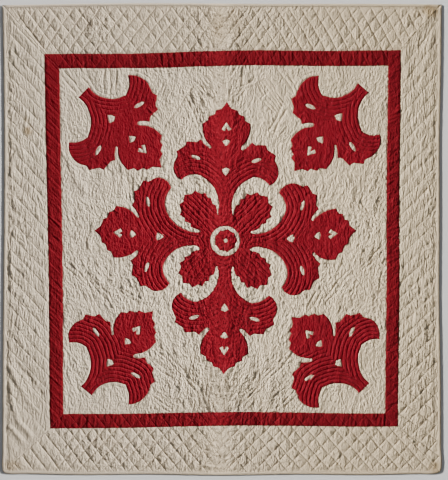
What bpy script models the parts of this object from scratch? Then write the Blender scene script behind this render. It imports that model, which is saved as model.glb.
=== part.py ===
"""Quilted applique coverlet with leaf motifs, spread out flat and face up.

One filled sheet carries everything: four binding strips round its edge, four strips of a plain sash,
a medallion of four lobed leaves and four small leaves cut from one cloth, a scalloped disc in the
medallion's middle, and a leaf in each corner. Metres, +Z up, +Y towards the top of the design.
The origin is under the middle of the quilt, on the surface that it lies on.
"""

import bmesh
import bpy
from math import atan2, ceil, cos, pi, radians, sin
from mathutils import Vector

# ---------------------------------------------------------------- driving dimensions

QUILT_WIDTH = 2.000            # along X
QUILT_LENGTH = 2.150           # along Y
GAP = 0.0003                   # clearance between neighbouring pieces

BODY_THICK = 0.0055            # two cloths and the wadding, between the quilting lines
BINDING_CLOTH = 0.0009         # doubled binding cloth
BINDING_WIDTH = 0.0130         # how far the binding reaches in over the face and the back
BINDING_HEIGHT = 0.0050        # bound edge, pressed thinner than the body
APPLIQUE_CLOTH = 0.0010        # one cloth with its edge turned under

EDGE_STEP = 0.090              # distance between stations along the quilt's edge
CORNER_STEPS = 4               # stretches round a rounded corner, an even number
SASH_STEPS = 12                # stretches along each sash strip
ARC_STEP = radians(24)         # largest turn between two points of a curved edge

# Each side of the quilt is a little uneven: a bow towards the middle of the quilt (negative is away
# from it), and a ripple of so many waves, measured along +X or +Y.
SIDE_BOW = {
    # side: (bow, ripple, waves, phase in degrees)
    "left": (0.006, 0.0030, 1.0, 180),
    "right": (0.010, 0.0012, 3.0, 40),
    "bottom": (-0.005, 0.0020, 3.0, 90),
    "top": (-0.007, 0.0018, 1.5, 130),
}

# Corner of the quilt: side of X, side of Y, radius; counter-clockwise from the lower right one.
QUILT_CORNERS = (
    ("bottom_right", 1, -1, 0.026),
    ("top_right", 1, 1, 0.0),
    ("top_left", -1, 1, 0.0),
    ("bottom_left", -1, -1, 0.018),
)

# Corner of the sash: outer x, outer y, inner x, inner y.
SASH_CORNERS = {
    "top_left": (-0.8085, 0.8435, -0.740, 0.777),
    "top_right": (0.815, 0.861, 0.756, 0.790),
    "bottom_right": (0.801, -0.853, 0.743, -0.793),
    "bottom_left": (-0.783, -0.862, -0.722, -0.795),
}

SASH_OUTER = {name: Vector(row[:2]) for name, row in SASH_CORNERS.items()}
SASH_INNER = {name: Vector(row[2:]) for name, row in SASH_CORNERS.items()}

# Corners where one strip runs past another, and the corner at the far end of the strip that stops.
BUTTED = {"top_right": "top_left", "bottom_right": "bottom_left"}

# Strip of the sash: its corners in order, how each end is cut, and its sideways waver.
# "mitre" meets its neighbour corner to corner, "over" runs past it, "under" stops against it.
SASH_STRIPS = (
    # name, first corner, last corner, first end, last end, waver, waves
    ("sash_top", "top_left", "top_right", "mitre", "under", -0.0070, 1.0),
    ("sash_right", "top_right", "bottom_right", "over", "over", 0.0020, 1.5),
    ("sash_bottom", "bottom_right", "bottom_left", "under", "mitre", -0.0085, 0.5),
    ("sash_left", "bottom_left", "top_left", "mitre", "mitre", -0.0045, 0.5),
)

# Half of a lobed leaf, from its foot to its tip. Reach is measured from the point that the leaf grows
# from, half_width from its midrib. Each row's edge runs from the row before it, bulging outwards by
# bulge (negative is a hollow), and carries so many teeth. A tooth's valley lies at the share valley of
# the way to its point. Follow is the share of a side lobe's own set forward that the point takes.
LEAF_EDGE = (
    # part, reach, half_width, bulge, teeth, valley, follow
    ("foot", 0.124, 0.033, 0.000, 0, 0, 0.0),
    ("throat", 0.284, 0.128, -0.037, 0, 0, 0.5),
    ("heel", 0.256, 0.200, -0.009, 0, 0, 1.3),
    ("shoulder", 0.322, 0.238, 0.013, 0, 0, 1.0),
    ("lobe", 0.437, 0.116, 0.042, 3, 0.70, 0.7),
    ("slot", 0.402, 0.078, -0.003, 0, 0, 0.5),
    ("slot end", 0.407, 0.068, -0.004, 0, 0, 0.3),
    ("cheek", 0.510, 0.109, 0.013, 0, 0, 0.0),
    ("crown", 0.568, 0.050, 0.003, 2, 0.66, 0.0),
    ("tip", 0.605, 0.000, 0.000, 1, 0.40, 0.0),
)
LEAF_REACH = 0.605             # reach of the tip in LEAF_EDGE
TOOTH_DEPTH = 0.0095           # from the line between two points down to the valley

# Half of a small fan-shaped leaf of the medallion, in the same columns.
SMALL_LEAF_EDGE = (
    ("base", 0.114, 0.0545, 0.000, 0, 0, 0.0),
    ("hip", 0.154, 0.076, 0.002, 0, 0, 0.0),
    ("side", 0.228, 0.079, 0.004, 2, 0.36, 0.0),
    ("crown", 0.284, 0.000, 0.014, 2, 0.36, 0.0),
)

# Windows cut in a leaf: kind, reach and offset of the middle, length along the midrib and width.
# A window with an offset is cut on both sides of the midrib, turned outwards by tilt degrees.
LEAF_WINDOWS = (
    # kind, reach, offset, length, width, tilt
    ("chevron", 0.497, 0.000, 0.040, 0.043, 0),
    ("drop", 0.427, 0.000, 0.029, 0.035, 0),
    ("drop", 0.302, 0.000, 0.037, 0.036, 0),
    ("slit", 0.362, 0.137, 0.015, 0.048, 17),
)
CHEVRON_LIMB = 0.32            # breadth of a chevron's limbs, as a share of its width
CHEVRON_HEEL = 0.60            # how far a limb's outer corner stands above its inner one, in limbs
CHEVRON_FORK = 1.60            # depth of the chevron along the midrib, in limbs
DROP_SHOULDER = 0.55           # where a drop is widest, as a share of half its length
DROP_BELLY = 0.0020            # bulge of a drop's sides
SLIT_POINTS = 8

# Large leaves of the medallion: direction in degrees, reach of the tip, how far the tip leans sideways
# (positive is to the left of a leaf seen from its foot), and the side lobes, the right one first: how
# far each is set towards the tip, how wide it spreads, and how far its slit is set towards the tip.
ARMS = (
    # name, direction, reach, lean, right lobe, left lobe
    ("east", -0.4, 0.598, 0.052, (0.006, 1.11, -0.005), (-0.007, 1.07, -0.006)),
    ("north", 89.6, 0.633, -0.004, (-0.011, 0.965, -0.011), (0.007, 0.96, 0.001)),
    ("west", 176.9, 0.597, -0.016, (0.004, 1.14, 0.004), (-0.008, 1.06, -0.008)),
    ("south", 269.5, 0.609, 0.000, (-0.016, 1.00, -0.016), (-0.009, 1.00, -0.009)),
)
SMALL_LEAVES = ((46.3, 0.985), (131.2, 0.985), (224.6, 0.955), (313.8, 0.975))    # direction and scale
MEDALLION_CENTRE = (0.0140, -0.0080)
DISC_CENTRE = (0.0170, -0.0060)
RING_RADIUS = 0.0680           # opening round the middle disc
DISC_RADIUS = 0.0530           # to the points of its edge
DISC_POINTS = 9
DISC_DIP = 0.0050              # depth of the scallops between the points
DISC_EYE = 0.0090              # radius of the hole in its middle
RING_POINTS = 36               # points round the ring opening
SCALLOP_STEPS = 3              # points of the disc's edge for each scallop
EYE_POINTS = 12
CRESCENT_CAP = 0.003           # how far the inner end of the gap beside a stem is rounded

# Corner leaves: foot of the stem, direction of the tip in degrees, length from foot to tip, side lobes.
CORNER_LEAVES = (
    # name, foot_x, foot_y, direction, length, right lobe, left lobe
    ("corner_leaf_top_left", -0.630, 0.670, -44.2, 0.494, (0.008, 0.99, -0.002), (-0.007, 0.915, -0.012)),
    ("corner_leaf_top_right", 0.644, 0.689, -129.7, 0.494, (-0.010, 0.90, -0.014), (0.010, 0.91, 0.003)),
    ("corner_leaf_bottom_left", -0.618, -0.691, 50.3, 0.474, (-0.017, 0.91, -0.026), (0.017, 0.98, 0.009)),
    ("corner_leaf_bottom_right", 0.648, -0.678, 135.6, 0.464, (0.010, 1.04, -0.001), (-0.008, 1.03, -0.008)),
)
CORNER_FOOT = 0.142            # reach at which a corner leaf's stem is cut square
CORNER_HEEL_BACK = 0.020       # how much further back the heels of a corner leaf come

# ---------------------------------------------------------------- materials

FINISHES = {
    # name: (colour, roughness, metallic)
    "unbleached_cotton": ((0.600, 0.545, 0.465), 0.92, 0.0),
    "binding_cotton": ((0.640, 0.590, 0.510), 0.90, 0.0),
    "red_cotton": ((0.300, 0.012, 0.018), 0.88, 0.0),
    "dark_red_cotton": ((0.220, 0.009, 0.012), 0.88, 0.0),
}


def cloth_material(name):
    """The named cotton finish, made once."""
    material = bpy.data.materials.get(name)
    if material:
        return material
    colour, roughness, metallic = FINISHES[name]
    material = bpy.data.materials.new(name)
    material.use_nodes = True
    shader = material.node_tree.nodes["Principled BSDF"]
    shader.inputs["Base Color"].default_value = (*colour, 1.0)
    shader.inputs["Roughness"].default_value = roughness
    shader.inputs["Metallic"].default_value = metallic
    material.diffuse_color = (*colour, 1.0)
    return material


# ---------------------------------------------------------------- plane geometry


def arc(start, end, bulge, pieces=None):
    """Points after start up to end on an arc whose middle stands bulge to the left of the chord."""
    chord = end - start
    half = chord.length / 2
    if abs(bulge) < GAP:
        steps = pieces or 1
        return [start + chord * (k / steps) for k in range(1, steps + 1)]
    radius = (half * half + bulge * bulge) / (2 * abs(bulge))
    half_angle = 2 * atan2(abs(bulge), half)
    pieces = pieces or max(2, ceil(2 * half_angle / ARC_STEP))
    left = Vector((-chord.y, chord.x)).normalized() * (1 if bulge > 0 else -1)
    centre = (start + end) / 2 + left * (abs(bulge) - radius)
    points = []
    for step in range(1, pieces + 1):
        angle = half_angle * (2 * step / pieces - 1)
        along = chord.normalized() * (radius * sin(angle))
        points.append(centre + along + left * (radius * cos(angle)))
    return points


def circle(count, radius=1.0):
    """Points round a circle, counter-clockwise from +X."""
    return [radius * Vector((cos(2 * pi * k / count), sin(2 * pi * k / count))) for k in range(count)]


def toothed(start, end, bulge, teeth, valley):
    """Points after start up to end along an arc of saw teeth, each a valley and then a point."""
    points = []
    last = start
    for point in arc(start, end, bulge, teeth):
        step = point - last
        inwards = Vector((step.y, -step.x)).normalized()
        points.append(last + step * valley + inwards * TOOTH_DEPTH)
        points.append(point)
        last = point
    return points


def half_edge(rows, scale=1.0, lobe=(0.0, 1.0, 0.0), heel_back=0.0):
    """One side of a leaf, foot to tip, as (reach, half_width) points; the lobe leaves the stem alone."""
    points = []
    forward, spread, _ = lobe
    for part, reach, half_width, bulge, teeth, valley, follow in rows:
        reach += forward * follow
        reach -= heel_back if part == "heel" else 0.0
        if not points:
            points.append(Vector((reach, half_width)))
            continue
        target = Vector((reach, half_width * spread)) * scale
        if teeth:
            points.extend(toothed(points[-1], target, bulge, teeth, valley))
        else:
            points.extend(arc(points[-1], target, bulge * scale))
    return points


def placed(points, origin, direction, lean=0.0, reach=1.0):
    """Leaf points turned into the quilt's plane; lean bends them sideways, most at the tip."""
    turn = radians(direction)
    ahead = Vector((cos(turn), sin(turn)))
    left = Vector((-ahead.y, ahead.x))
    origin = Vector(origin)
    return [origin + ahead * p.x + left * (p.y + lean * (p.x / reach) ** 2) for p in points]


def on_right(points):
    """A side of a leaf turned over to its right."""
    return [Vector((p.x, -p.y)) for p in points]


def joined(right, left):
    """The leaf's edge from the right foot over the tip, which both sides share, to the left foot."""
    return on_right(right) + [p for p in reversed(left) if abs(p.y) > GAP]


def from_foot(points, foot):
    """A half edge cut square across at the given reach."""
    kept = [p for p in points if p.x > foot]
    first = next(i for i, p in enumerate(points) if p.x > foot)
    before, after = points[first - 1], points[first]
    share = (foot - before.x) / (after.x - before.x)
    return [before.lerp(after, share)] + kept


def window(kind, length, width):
    """Outline of one cut-out about its own middle, pointing along +X like the leaf."""
    half_l, half_w = length / 2, width / 2
    if kind == "chevron":
        limb = width * CHEVRON_LIMB
        heel = limb * CHEVRON_HEEL - half_l
        fork = half_l - limb * CHEVRON_FORK
        right = [Vector((heel, -half_w)), Vector((-half_l, limb - half_w))]
        left = [Vector((-half_l, half_w - limb)), Vector((heel, half_w))]
        return [Vector((half_l, 0))] + left[::-1] + [Vector((fork, 0))] + right[::-1]
    if kind == "drop":
        shoulder = half_l * DROP_SHOULDER
        right, left, point = Vector((shoulder, -half_w)), Vector((shoulder, half_w)), Vector((-half_l, 0))
        top = arc(right, left, shoulder - half_l, 2)
        return [right] + top + arc(left, point, -DROP_BELLY, 2) + arc(point, right, -DROP_BELLY, 2)[:-1]
    return [Vector((half_l * p.x, half_w * p.y)) for p in circle(SLIT_POINTS)]


def leaf_windows(scale, right_lobe, left_lobe):
    """All cut-outs of one leaf in its own frame."""
    outlines = []
    for kind, reach, offset, length, width, tilt in LEAF_WINDOWS:
        places = ((1, *left_lobe), (-1, *right_lobe)) if offset else ((0, 0, 1, 0),)
        for side, _, spread, forward in places:
            middle = Vector((reach + forward, offset * side * spread)) * scale
            outlines.append(placed(window(kind, length, width), middle, -tilt * side))
    return outlines


# ---------------------------------------------------------------- the quilt's uneven edge


def side_inset(side, t):
    """How far a side lies inside the quilt's rectangle, at share t of its length."""
    bow, ripple, waves, phase = SIDE_BOW[side]
    return bow * sin(pi * t) + ripple * sin(2 * pi * waves * t + radians(phase))


def least_inset(side):
    samples = 200
    return min(side_inset(side, k / samples) for k in range(samples + 1))


LEAST_INSET = {side: least_inset(side) for side in SIDE_BOW}


def uneven(point):
    """Moves a point of the true rectangle with the quilt's uneven sides."""
    across = point.x / QUILT_WIDTH + 0.5
    up = point.y / QUILT_LENGTH + 0.5
    left = side_inset("left", up) - LEAST_INSET["left"]
    right = side_inset("right", up) - LEAST_INSET["right"]
    bottom = side_inset("bottom", across) - LEAST_INSET["bottom"]
    top = side_inset("top", across) - LEAST_INSET["top"]
    return Vector((point.x + left * (1 - across) - right * across,
                   point.y + bottom * (1 - up) - top * up))


def edge_ring(inset):
    """Stations round the quilt, a given distance in from its edge, and the index of each corner."""
    half_x, half_y = QUILT_WIDTH / 2 - inset, QUILT_LENGTH / 2 - inset
    corner_runs = []
    for number, (name, side_x, side_y, radius) in enumerate(QUILT_CORNERS):
        corner = Vector((side_x * half_x, side_y * half_y))
        if not radius:
            corner_runs.append([corner])
            continue
        bend = radius - inset
        centre = corner - Vector((side_x, side_y)) * bend
        start = radians(90 * (number - 1))
        angles = [start + k * pi / 2 / CORNER_STEPS for k in range(CORNER_STEPS + 1)]
        corner_runs.append([centre + bend * Vector((cos(a), sin(a))) for a in angles])
    stations, corners = [], []
    for number, run in enumerate(corner_runs):
        corners.append(len(stations) + len(run) // 2)
        stations.extend(run)
        following = corner_runs[(number + 1) % len(corner_runs)]
        side = QUILT_LENGTH if number % 2 == 0 else QUILT_WIDTH
        pieces = round(side / EDGE_STEP)
        stations.extend(run[-1].lerp(following[0], k / pieces) for k in range(1, pieces))
    return stations, corners


# ---------------------------------------------------------------- solids


def new_object(name, mesh_builder, material):
    """Makes a named object from a bmesh, with its faces pointing out."""
    bmesh.ops.recalc_face_normals(mesh_builder, faces=mesh_builder.faces)
    mesh = bpy.data.meshes.new(name)
    mesh_builder.to_mesh(mesh)
    mesh_builder.free()
    mesh.materials.append(cloth_material(material))
    piece = bpy.data.objects.new(name, mesh)
    bpy.context.collection.objects.link(piece)
    return piece


def flat_piece(name, outlines, low, high, material):
    """A flat piece of cloth: the first outline is its edge, the others are openings in it."""
    builder = bmesh.new()
    for outline in outlines:
        ring = [builder.verts.new((p.x, p.y, low)) for p in outline]
        for first, second in zip(ring, ring[1:] + ring[:1]):
            builder.edges.new((first, second))
    bmesh.ops.triangle_fill(builder, use_beauty=True, edges=builder.edges[:])
    lifted = bmesh.ops.extrude_face_region(builder, geom=builder.faces[:])["geom"]
    corners = [item for item in lifted if isinstance(item, bmesh.types.BMVert)]
    bmesh.ops.translate(builder, verts=corners, vec=(0, 0, high - low))
    return new_object(name, builder, material)


def join_rings(builder, rings, closed):
    """Faces between neighbouring rings of vertices; closed also joins each ring's two ends."""
    for lower, upper in zip(rings, rings[1:]):
        count = len(lower)
        for k in range(count if closed else count - 1):
            n = (k + 1) % count
            builder.faces.new((lower[k], lower[n], upper[n], upper[k]))


def quilt_body():
    """The filled sheet, pressed to a thin tongue all round where the binding holds it."""
    tongue_low = BINDING_CLOTH + GAP
    tongue_high = BINDING_HEIGHT - BINDING_CLOTH - GAP
    shoulder_in = BINDING_WIDTH + GAP
    tongue_in = BINDING_CLOTH + GAP
    section = (
        # inset, height
        (shoulder_in, 0.0),
        (shoulder_in, tongue_low),
        (tongue_in, tongue_low),
        (tongue_in, tongue_high),
        (shoulder_in, tongue_high),
        (shoulder_in, BODY_THICK),
    )
    builder = bmesh.new()
    rings = []
    for inset, height in section:
        rings.append([builder.verts.new((*uneven(p), height)) for p in edge_ring(inset)[0]])
    join_rings(builder, rings, closed=True)
    builder.faces.new(rings[0])
    builder.faces.new(rings[-1])
    new_object("quilt_body", builder, "unbleached_cotton")


def binding_strips():
    """Four folded strips that wrap the edge, mitred at the corners."""
    high_in = BINDING_HEIGHT - BINDING_CLOTH
    section = (
        # inset, height: once round the folded strip
        (0.0, 0.0),
        (BINDING_WIDTH, 0.0),
        (BINDING_WIDTH, BINDING_CLOTH),
        (BINDING_CLOTH, BINDING_CLOTH),
        (BINDING_CLOTH, high_in),
        (BINDING_WIDTH, high_in),
        (BINDING_WIDTH, BINDING_HEIGHT),
        (0.0, BINDING_HEIGHT),
    )
    names = ("binding_right", "binding_top", "binding_left", "binding_bottom")
    for side, name in enumerate(names):
        builder = bmesh.new()
        rows = []
        for inset, height in section:
            stations, corners = edge_ring(inset)
            first, last = corners[side], corners[(side + 1) % len(corners)]
            last += len(stations) if last < first else 0
            run = [stations[k % len(stations)] for k in range(first, last + 1)]
            along = (run[-1] - run[0]).normalized() * (GAP / 2)
            run[0] = run[0] + along
            run[-1] = run[-1] - along
            rows.append([builder.verts.new((*uneven(p), height)) for p in run])
        join_rings(builder, rows + rows[:1], closed=False)
        builder.faces.new([row[0] for row in rows])
        builder.faces.new([row[-1] for row in rows])
        new_object(name, builder, "binding_cotton")


def meeting_point(a, b, c, d):
    """Where the line through a and b meets the line through c and d."""
    one, two = b - a, d - c
    share = (c - a).cross(two) / one.cross(two)
    return a + one * share


def sash_end(corner, along, cut):
    """Outer and inner end points of a strip at a corner, cut as named; along points into the strip."""
    outer, inner = SASH_OUTER[corner], SASH_INNER[corner]
    if cut == "mitre":
        return outer, inner
    run_past = [SASH_INNER[name] for name in BUTTED]
    crossing = meeting_point(*run_past, outer, SASH_OUTER[BUTTED[corner]])
    if cut == "over":
        return outer, crossing
    return crossing + along * GAP, inner + along * GAP


def wavering(start, end, waver, waves):
    """A strip's long edge from start to end, wavering sideways but straight near both ends."""
    chord = end - start
    left = Vector((-chord.y, chord.x)).normalized()
    points = []
    for step in range(SASH_STEPS + 1):
        t = step / SASH_STEPS
        swell = max(0.0, sin(pi * (step - 1) / (SASH_STEPS - 2)))
        points.append(start + chord * t + left * (waver * swell * sin(2 * pi * waves * t + waves)))
    return points


def sash_strips():
    """Four strips of the sash, laid on the body; a mitred end keeps its gap along the strip."""
    low = BODY_THICK + GAP
    for name, first, last, first_cut, last_cut, waver, waves in SASH_STRIPS:
        along = (SASH_OUTER[last] - SASH_OUTER[first]).normalized()
        outer_a, inner_a = sash_end(first, along, first_cut)
        outer_b, inner_b = sash_end(last, -along, last_cut)
        if first_cut == "mitre":
            outer_a, inner_a = outer_a + along * GAP, inner_a + along * GAP
        outer_edge = wavering(outer_a, outer_b, waver, waves)
        inner_edge = wavering(inner_a, inner_b, waver, waves)
        flat_piece(name, [outer_edge + inner_edge[::-1]], low, low + APPLIQUE_CLOTH, "dark_red_cotton")


def medallion():
    """Four lobed leaves and four small leaves in one cloth round a ring opening, and its disc."""
    centre = Vector(MEDALLION_CENTRE)
    outline, openings = [], []
    foot_reach, foot_half_width = LEAF_EDGE[0][1:3]
    for number, (name, direction, reach, lean, right_lobe, left_lobe) in enumerate(ARMS):
        scale = reach / LEAF_REACH
        right = half_edge(LEAF_EDGE, scale, right_lobe)
        left = half_edge(LEAF_EDGE, scale, left_lobe)
        outline += placed(joined(right, left), centre, direction, lean, reach)
        openings += [placed(w, centre, direction, lean, reach)
                     for w in leaf_windows(scale, right_lobe, left_lobe)]

        small_direction, small_scale = SMALL_LEAVES[number]
        small_half = half_edge(SMALL_LEAF_EDGE, small_scale)
        fan = placed(joined(small_half, small_half), centre, small_direction)
        following = ARMS[(number + 1) % len(ARMS)][1]
        next_foot = placed([Vector((foot_reach, -foot_half_width))], centre, following)[0]
        for before, after, stretch in ((outline[-1], fan[0], fan), (fan[-1], next_foot, [])):
            between = (before + after) / 2 - centre
            outline.append(centre + between.normalized() * (foot_reach - CRESCENT_CAP))
            outline += stretch
    ring = [centre + p for p in circle(RING_POINTS, RING_RADIUS)]
    low = BODY_THICK + GAP
    flat_piece("medallion", [outline, ring] + openings, low, low + APPLIQUE_CLOTH, "red_cotton")

    centre = Vector(DISC_CENTRE)
    scallops = []
    for number, p in enumerate(circle(DISC_POINTS * SCALLOP_STEPS, DISC_RADIUS)):
        is_point = number % SCALLOP_STEPS == 0
        scallops.append(centre + p * (1 if is_point else 1 - DISC_DIP / DISC_RADIUS))
    eye = [centre + p for p in circle(EYE_POINTS, DISC_EYE)]
    flat_piece("medallion_disc", [scallops, eye], low, low + APPLIQUE_CLOTH, "red_cotton")


def corner_leaves():
    """The same lobed leaf in each corner, its stem cut square towards the quilt's corner."""
    low = BODY_THICK + GAP
    for name, foot_x, foot_y, direction, length, right_lobe, left_lobe in CORNER_LEAVES:
        scale = length / (LEAF_REACH - CORNER_FOOT)
        right, left = (from_foot(half_edge(LEAF_EDGE, 1.0, lobe, CORNER_HEEL_BACK), CORNER_FOOT)
                       for lobe in (right_lobe, left_lobe))
        shapes = [joined(right, left)] + leaf_windows(1.0, right_lobe, left_lobe)
        to_foot = Vector((CORNER_FOOT, 0))
        shapes = [placed([(p - to_foot) * scale for p in shape], (foot_x, foot_y), direction)
                  for shape in shapes]
        flat_piece(name, shapes, low, low + APPLIQUE_CLOTH, "red_cotton")


def build():
    for old in list(bpy.data.objects):
        bpy.data.objects.remove(old, do_unlink=True)
    quilt_body()
    binding_strips()
    sash_strips()
    medallion()
    corner_leaves()


build()
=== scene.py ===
# A quilted applique coverlet spread out flat: white ground, red leaf motifs, red sash and a bound edge.
# The plan of every piece comes from the frame. On it lie the quilting, the puckers, the laid creases,
# the turned edges and the stitches, all read from one height for the whole quilt.

from math import ceil, cos, pi, radians, sin, sqrt

import bpy
import numpy as np
from mathutils import Matrix, Vector, geometry, kdtree


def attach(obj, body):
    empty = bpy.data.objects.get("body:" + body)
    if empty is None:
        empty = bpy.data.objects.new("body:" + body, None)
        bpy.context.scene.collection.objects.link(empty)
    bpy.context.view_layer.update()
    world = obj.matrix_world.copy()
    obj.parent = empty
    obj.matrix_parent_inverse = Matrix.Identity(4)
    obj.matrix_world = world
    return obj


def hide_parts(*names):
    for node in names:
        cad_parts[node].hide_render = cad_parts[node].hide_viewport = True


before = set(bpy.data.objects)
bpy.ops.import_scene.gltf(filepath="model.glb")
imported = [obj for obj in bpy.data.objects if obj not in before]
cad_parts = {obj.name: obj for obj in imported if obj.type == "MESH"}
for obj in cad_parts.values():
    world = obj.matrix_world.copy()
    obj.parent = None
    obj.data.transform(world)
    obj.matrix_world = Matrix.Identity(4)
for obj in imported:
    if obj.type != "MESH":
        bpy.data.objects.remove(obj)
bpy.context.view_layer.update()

# ---------------------------------------------------------------- sizes, in metres

MM = 0.001

# plan
SHARP_TURN = radians(35)       # an outline that turns more than this at a point has a corner there
CORNER_ROUND = 1.5 * MM        # how far a turned corner is rounded
WINDOW_LENGTH = 0.200          # outlines shorter than this are cut windows
WAVER = 1.1 * MM               # how far a hand-cut edge strays
WAVER_SPAN = 50 * MM
TOUCHING = 1e-9                # a point this near to an edge counts as lying on it
SEAM_X = 0.0140                # the join between the two widths of the field
BUTT_IN = 0.034                # how far under the sash the field and the borders meet
TUCKED = 7 * MM                # how far the ground runs on under the binding's fold

# heights
GROUND_TOP = 4.0 * MM          # upper face of the ground at a stitched line
EDGE_TOP = 5.6 * MM            # upper face where the binding holds it
CLOTH = 1.0 * MM               # one applique cloth
HEM_RISE = 0.15 * MM           # extra height where an edge is turned under
HEM_WIDTH = 5 * MM
ROLL = 1.5 * MM                # breadth of the rounded fold at an edge
SINK = 1.7 * MM                # how far the ground is pressed down under a cloth
BESIDE_RISE = 0.7 * MM         # how far the ground swells beside a motif's edge
WINDOW_RISE = 1.3 * MM         # how much further it swells in the middle of a cut window
LIFT = 2.2 * MM                # how far the quilt rises off the floor between resting places
LIFT_SPAN = 0.210

# quilting
ECHO_STEP = 0.0178             # between the echo lines round the motifs
ECHO_ROUNDS = 2                # rounds of echo on the ground
THROAT_RUN = 0.250             # a smooth edge longer than this is the throat of a leaf
SMALL_LEAF_REACH = 0.300       # the medallion's small leaves end this far from its middle
MEDALLION_MIDDLE = (0.014, -0.008)
BANDS = {
    # border: the axis it runs along and where its middle line lies on the other axis
    "right": (1, 0.8975), "top": (0, 0.9625), "left": (1, -0.9025), "bottom": (0, -0.9625),
}
HATCH = {
    # border: for each family of straight lines, the count of lines along the band as a power series of the
    # distance from its midpoint, how fast it grows across the band there and how that changes along it,
    # and how firmly the lines are drawn at even places from the left or lower end to the other
    "top": (
        ((12.63, 16.93, 1.92, 0.75, -1.00), (11.85, -2.14), (1.0, 0.9, 0.8, 0.9, 1.0, 1.2, 1.2, 1.1)),
        ((12.13, 17.16, 2.40, -0.03, -2.58), (-13.41, -1.85), (1.0, 1.2, 1.2, 1.1, 1.0, 0.8, 0.8, 0.8)),
    ),
    "bottom": (
        ((12.46, 16.25, -0.85, -0.05, 0.43), (13.41, 0.98), (1.0, 1.3, 1.3, 1.2, 1.2, 1.2, 1.3, 1.3)),
        ((12.31, 15.43, -0.60, 1.17, -0.75), (-15.64, 1.66), (0.3, 1.5, 1.6, 1.3, 1.1, 1.0, 1.0, 1.0)),
    ),
    "left": (((11.66, 15.24, 0.11, 0.03), (16.20, 0.31), (0.25, 0.60, 0.70, 0.60, 0.65, 0.65, 0.65)),),
    "right": (
        ((11.96, 16.00, -0.14, -1.29), (-15.54, -1.80), (1.20, 1.00, 0.75, 0.70, 0.65, 0.60, 0.55)),
        ((40.37, 15.60), (10.90, 0.0), (1.3, 1.0, 0.3, 0, 0, 0, 0)),
    ),
}
HATCH_STEP = 0.048             # about how far apart the straight lines are
ON_SASH = 0.46                 # how firmly they run on across the sash
SPRAY_FAMILY = 3               # the number of the sprays among the families of stitched lines
PUFF = {"echo": 2.2 * MM, "hatch": 4.2 * MM, "field": 1.7 * MM}
LINE_WANDER = 0.05             # how far a line strays, as a share of its step

# Puckers: seed, breadth, length, height, how far they lean to the left from upright, in degrees.
PUCKERS = (
    (11, 0.0360, 0.110, 2.6 * MM, 0),
    (17, 0.0220, 0.060, 2.0 * MM, 0),
    (23, 0.0110, 0.030, 1.3 * MM, 0),
    (47, 0.0125, 0.026, 1.2 * MM, 52),
    (53, 0.0125, 0.026, 1.2 * MM, -50),
)
CROSSWISE = (37, 0.0200, 0.050, 1.7 * MM, 80)
FINE_BREADTH = 0.03            # puckers under this breadth give way to streaks
# How far the crosswise puckers count: x, y, reach along x and y, change. All start from CROSSED_LEAST.
CROSSED_LEAST = 0.12
CROSSED = (
    (0.00, 1.00, 1.20, 0.12, 0.80),
    (0.00, -1.00, 1.20, 0.12, 1.10),
    (0.70, -0.30, 0.12, 0.20, 0.30),
    (-0.32, 0.00, 0.20, 0.14, 0.60),
    (0.32, 0.00, 0.20, 0.14, 0.60),
    (0.00, -0.40, 0.12, 0.20, 0.30),
    (0.00, 0.42, 0.12, 0.20, 0.30),
    (-0.01, 0.00, 0.07, 2.00, 0.50),
)
# Narrow upright puckers of the side borders: seed, breadth, length, height.
SIDE_STREAKS = ((91, 0.0088, 0.052, 1.6 * MM), (92, 0.0140, 0.075, 1.2 * MM))
# Streaks in the open ground, which lean as the next table says: seed, breadth, length, height.
STREAKS = ((67, 0.0150, 0.062, 2.3 * MM), (83, 0.0092, 0.040, 1.5 * MM))
LEANINGS = (-45, -22.5, 0, 22.5, 45)
LEAN_REACH = 0.075
LEANS = (
    # x, y, how far the streaks lean to the left there
    (-0.51, 0.72, 0), (-0.66, 0.70, 40), (-0.70, 0.54, 22), (-0.19, 0.69, -18), (-0.24, 0.55, -35),
    (-0.09, 0.66, 24), (-0.68, 0.34, 35), (-0.67, 0.18, 15), (-0.51, 0.25, 8), (0.10, 0.73, 0),
    (0.21, 0.65, 38), (0.31, 0.73, 35), (0.51, 0.72, 10), (0.59, 0.68, -30), (0.71, 0.59, -18),
    (0.68, 0.22, -20), (0.55, 0.22, 0), (0.67, 0.06, -8), (0.67, -0.05, -30), (-0.68, -0.19, 28),
    (-0.57, -0.24, 42), (-0.46, -0.25, 25), (-0.33, -0.28, 10), (-0.27, -0.41, 35), (-0.21, -0.56, 48),
    (-0.15, -0.50, 2), (-0.27, -0.71, 45), (-0.07, -0.71, 0), (-0.51, -0.71, 8), (-0.67, -0.60, 22),
    (0.56, -0.23, -18), (0.67, -0.23, -8), (0.38, -0.29, -25), (0.18, -0.50, -5), (0.23, -0.59, -42),
    (0.13, -0.70, -42), (0.30, -0.71, -46), (0.51, -0.71, -22), (0.67, -0.55, 3), (0.68, -0.71, 30),
)
PUCKER_DRIFT = 0.018
CREASE_WANDER = 2.5 * MM       # how far a laid crease strays from its line
SPRAY_FIRM = 0.65              # how firmly the sprays in the open ground are drawn
SPRAY_HALF = 6 * MM            # troughs up to this half breadth are sprays, and are stitched
SHARP_HALF = 7 * MM            # creases under this half breadth get points of the mesh along them

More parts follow.
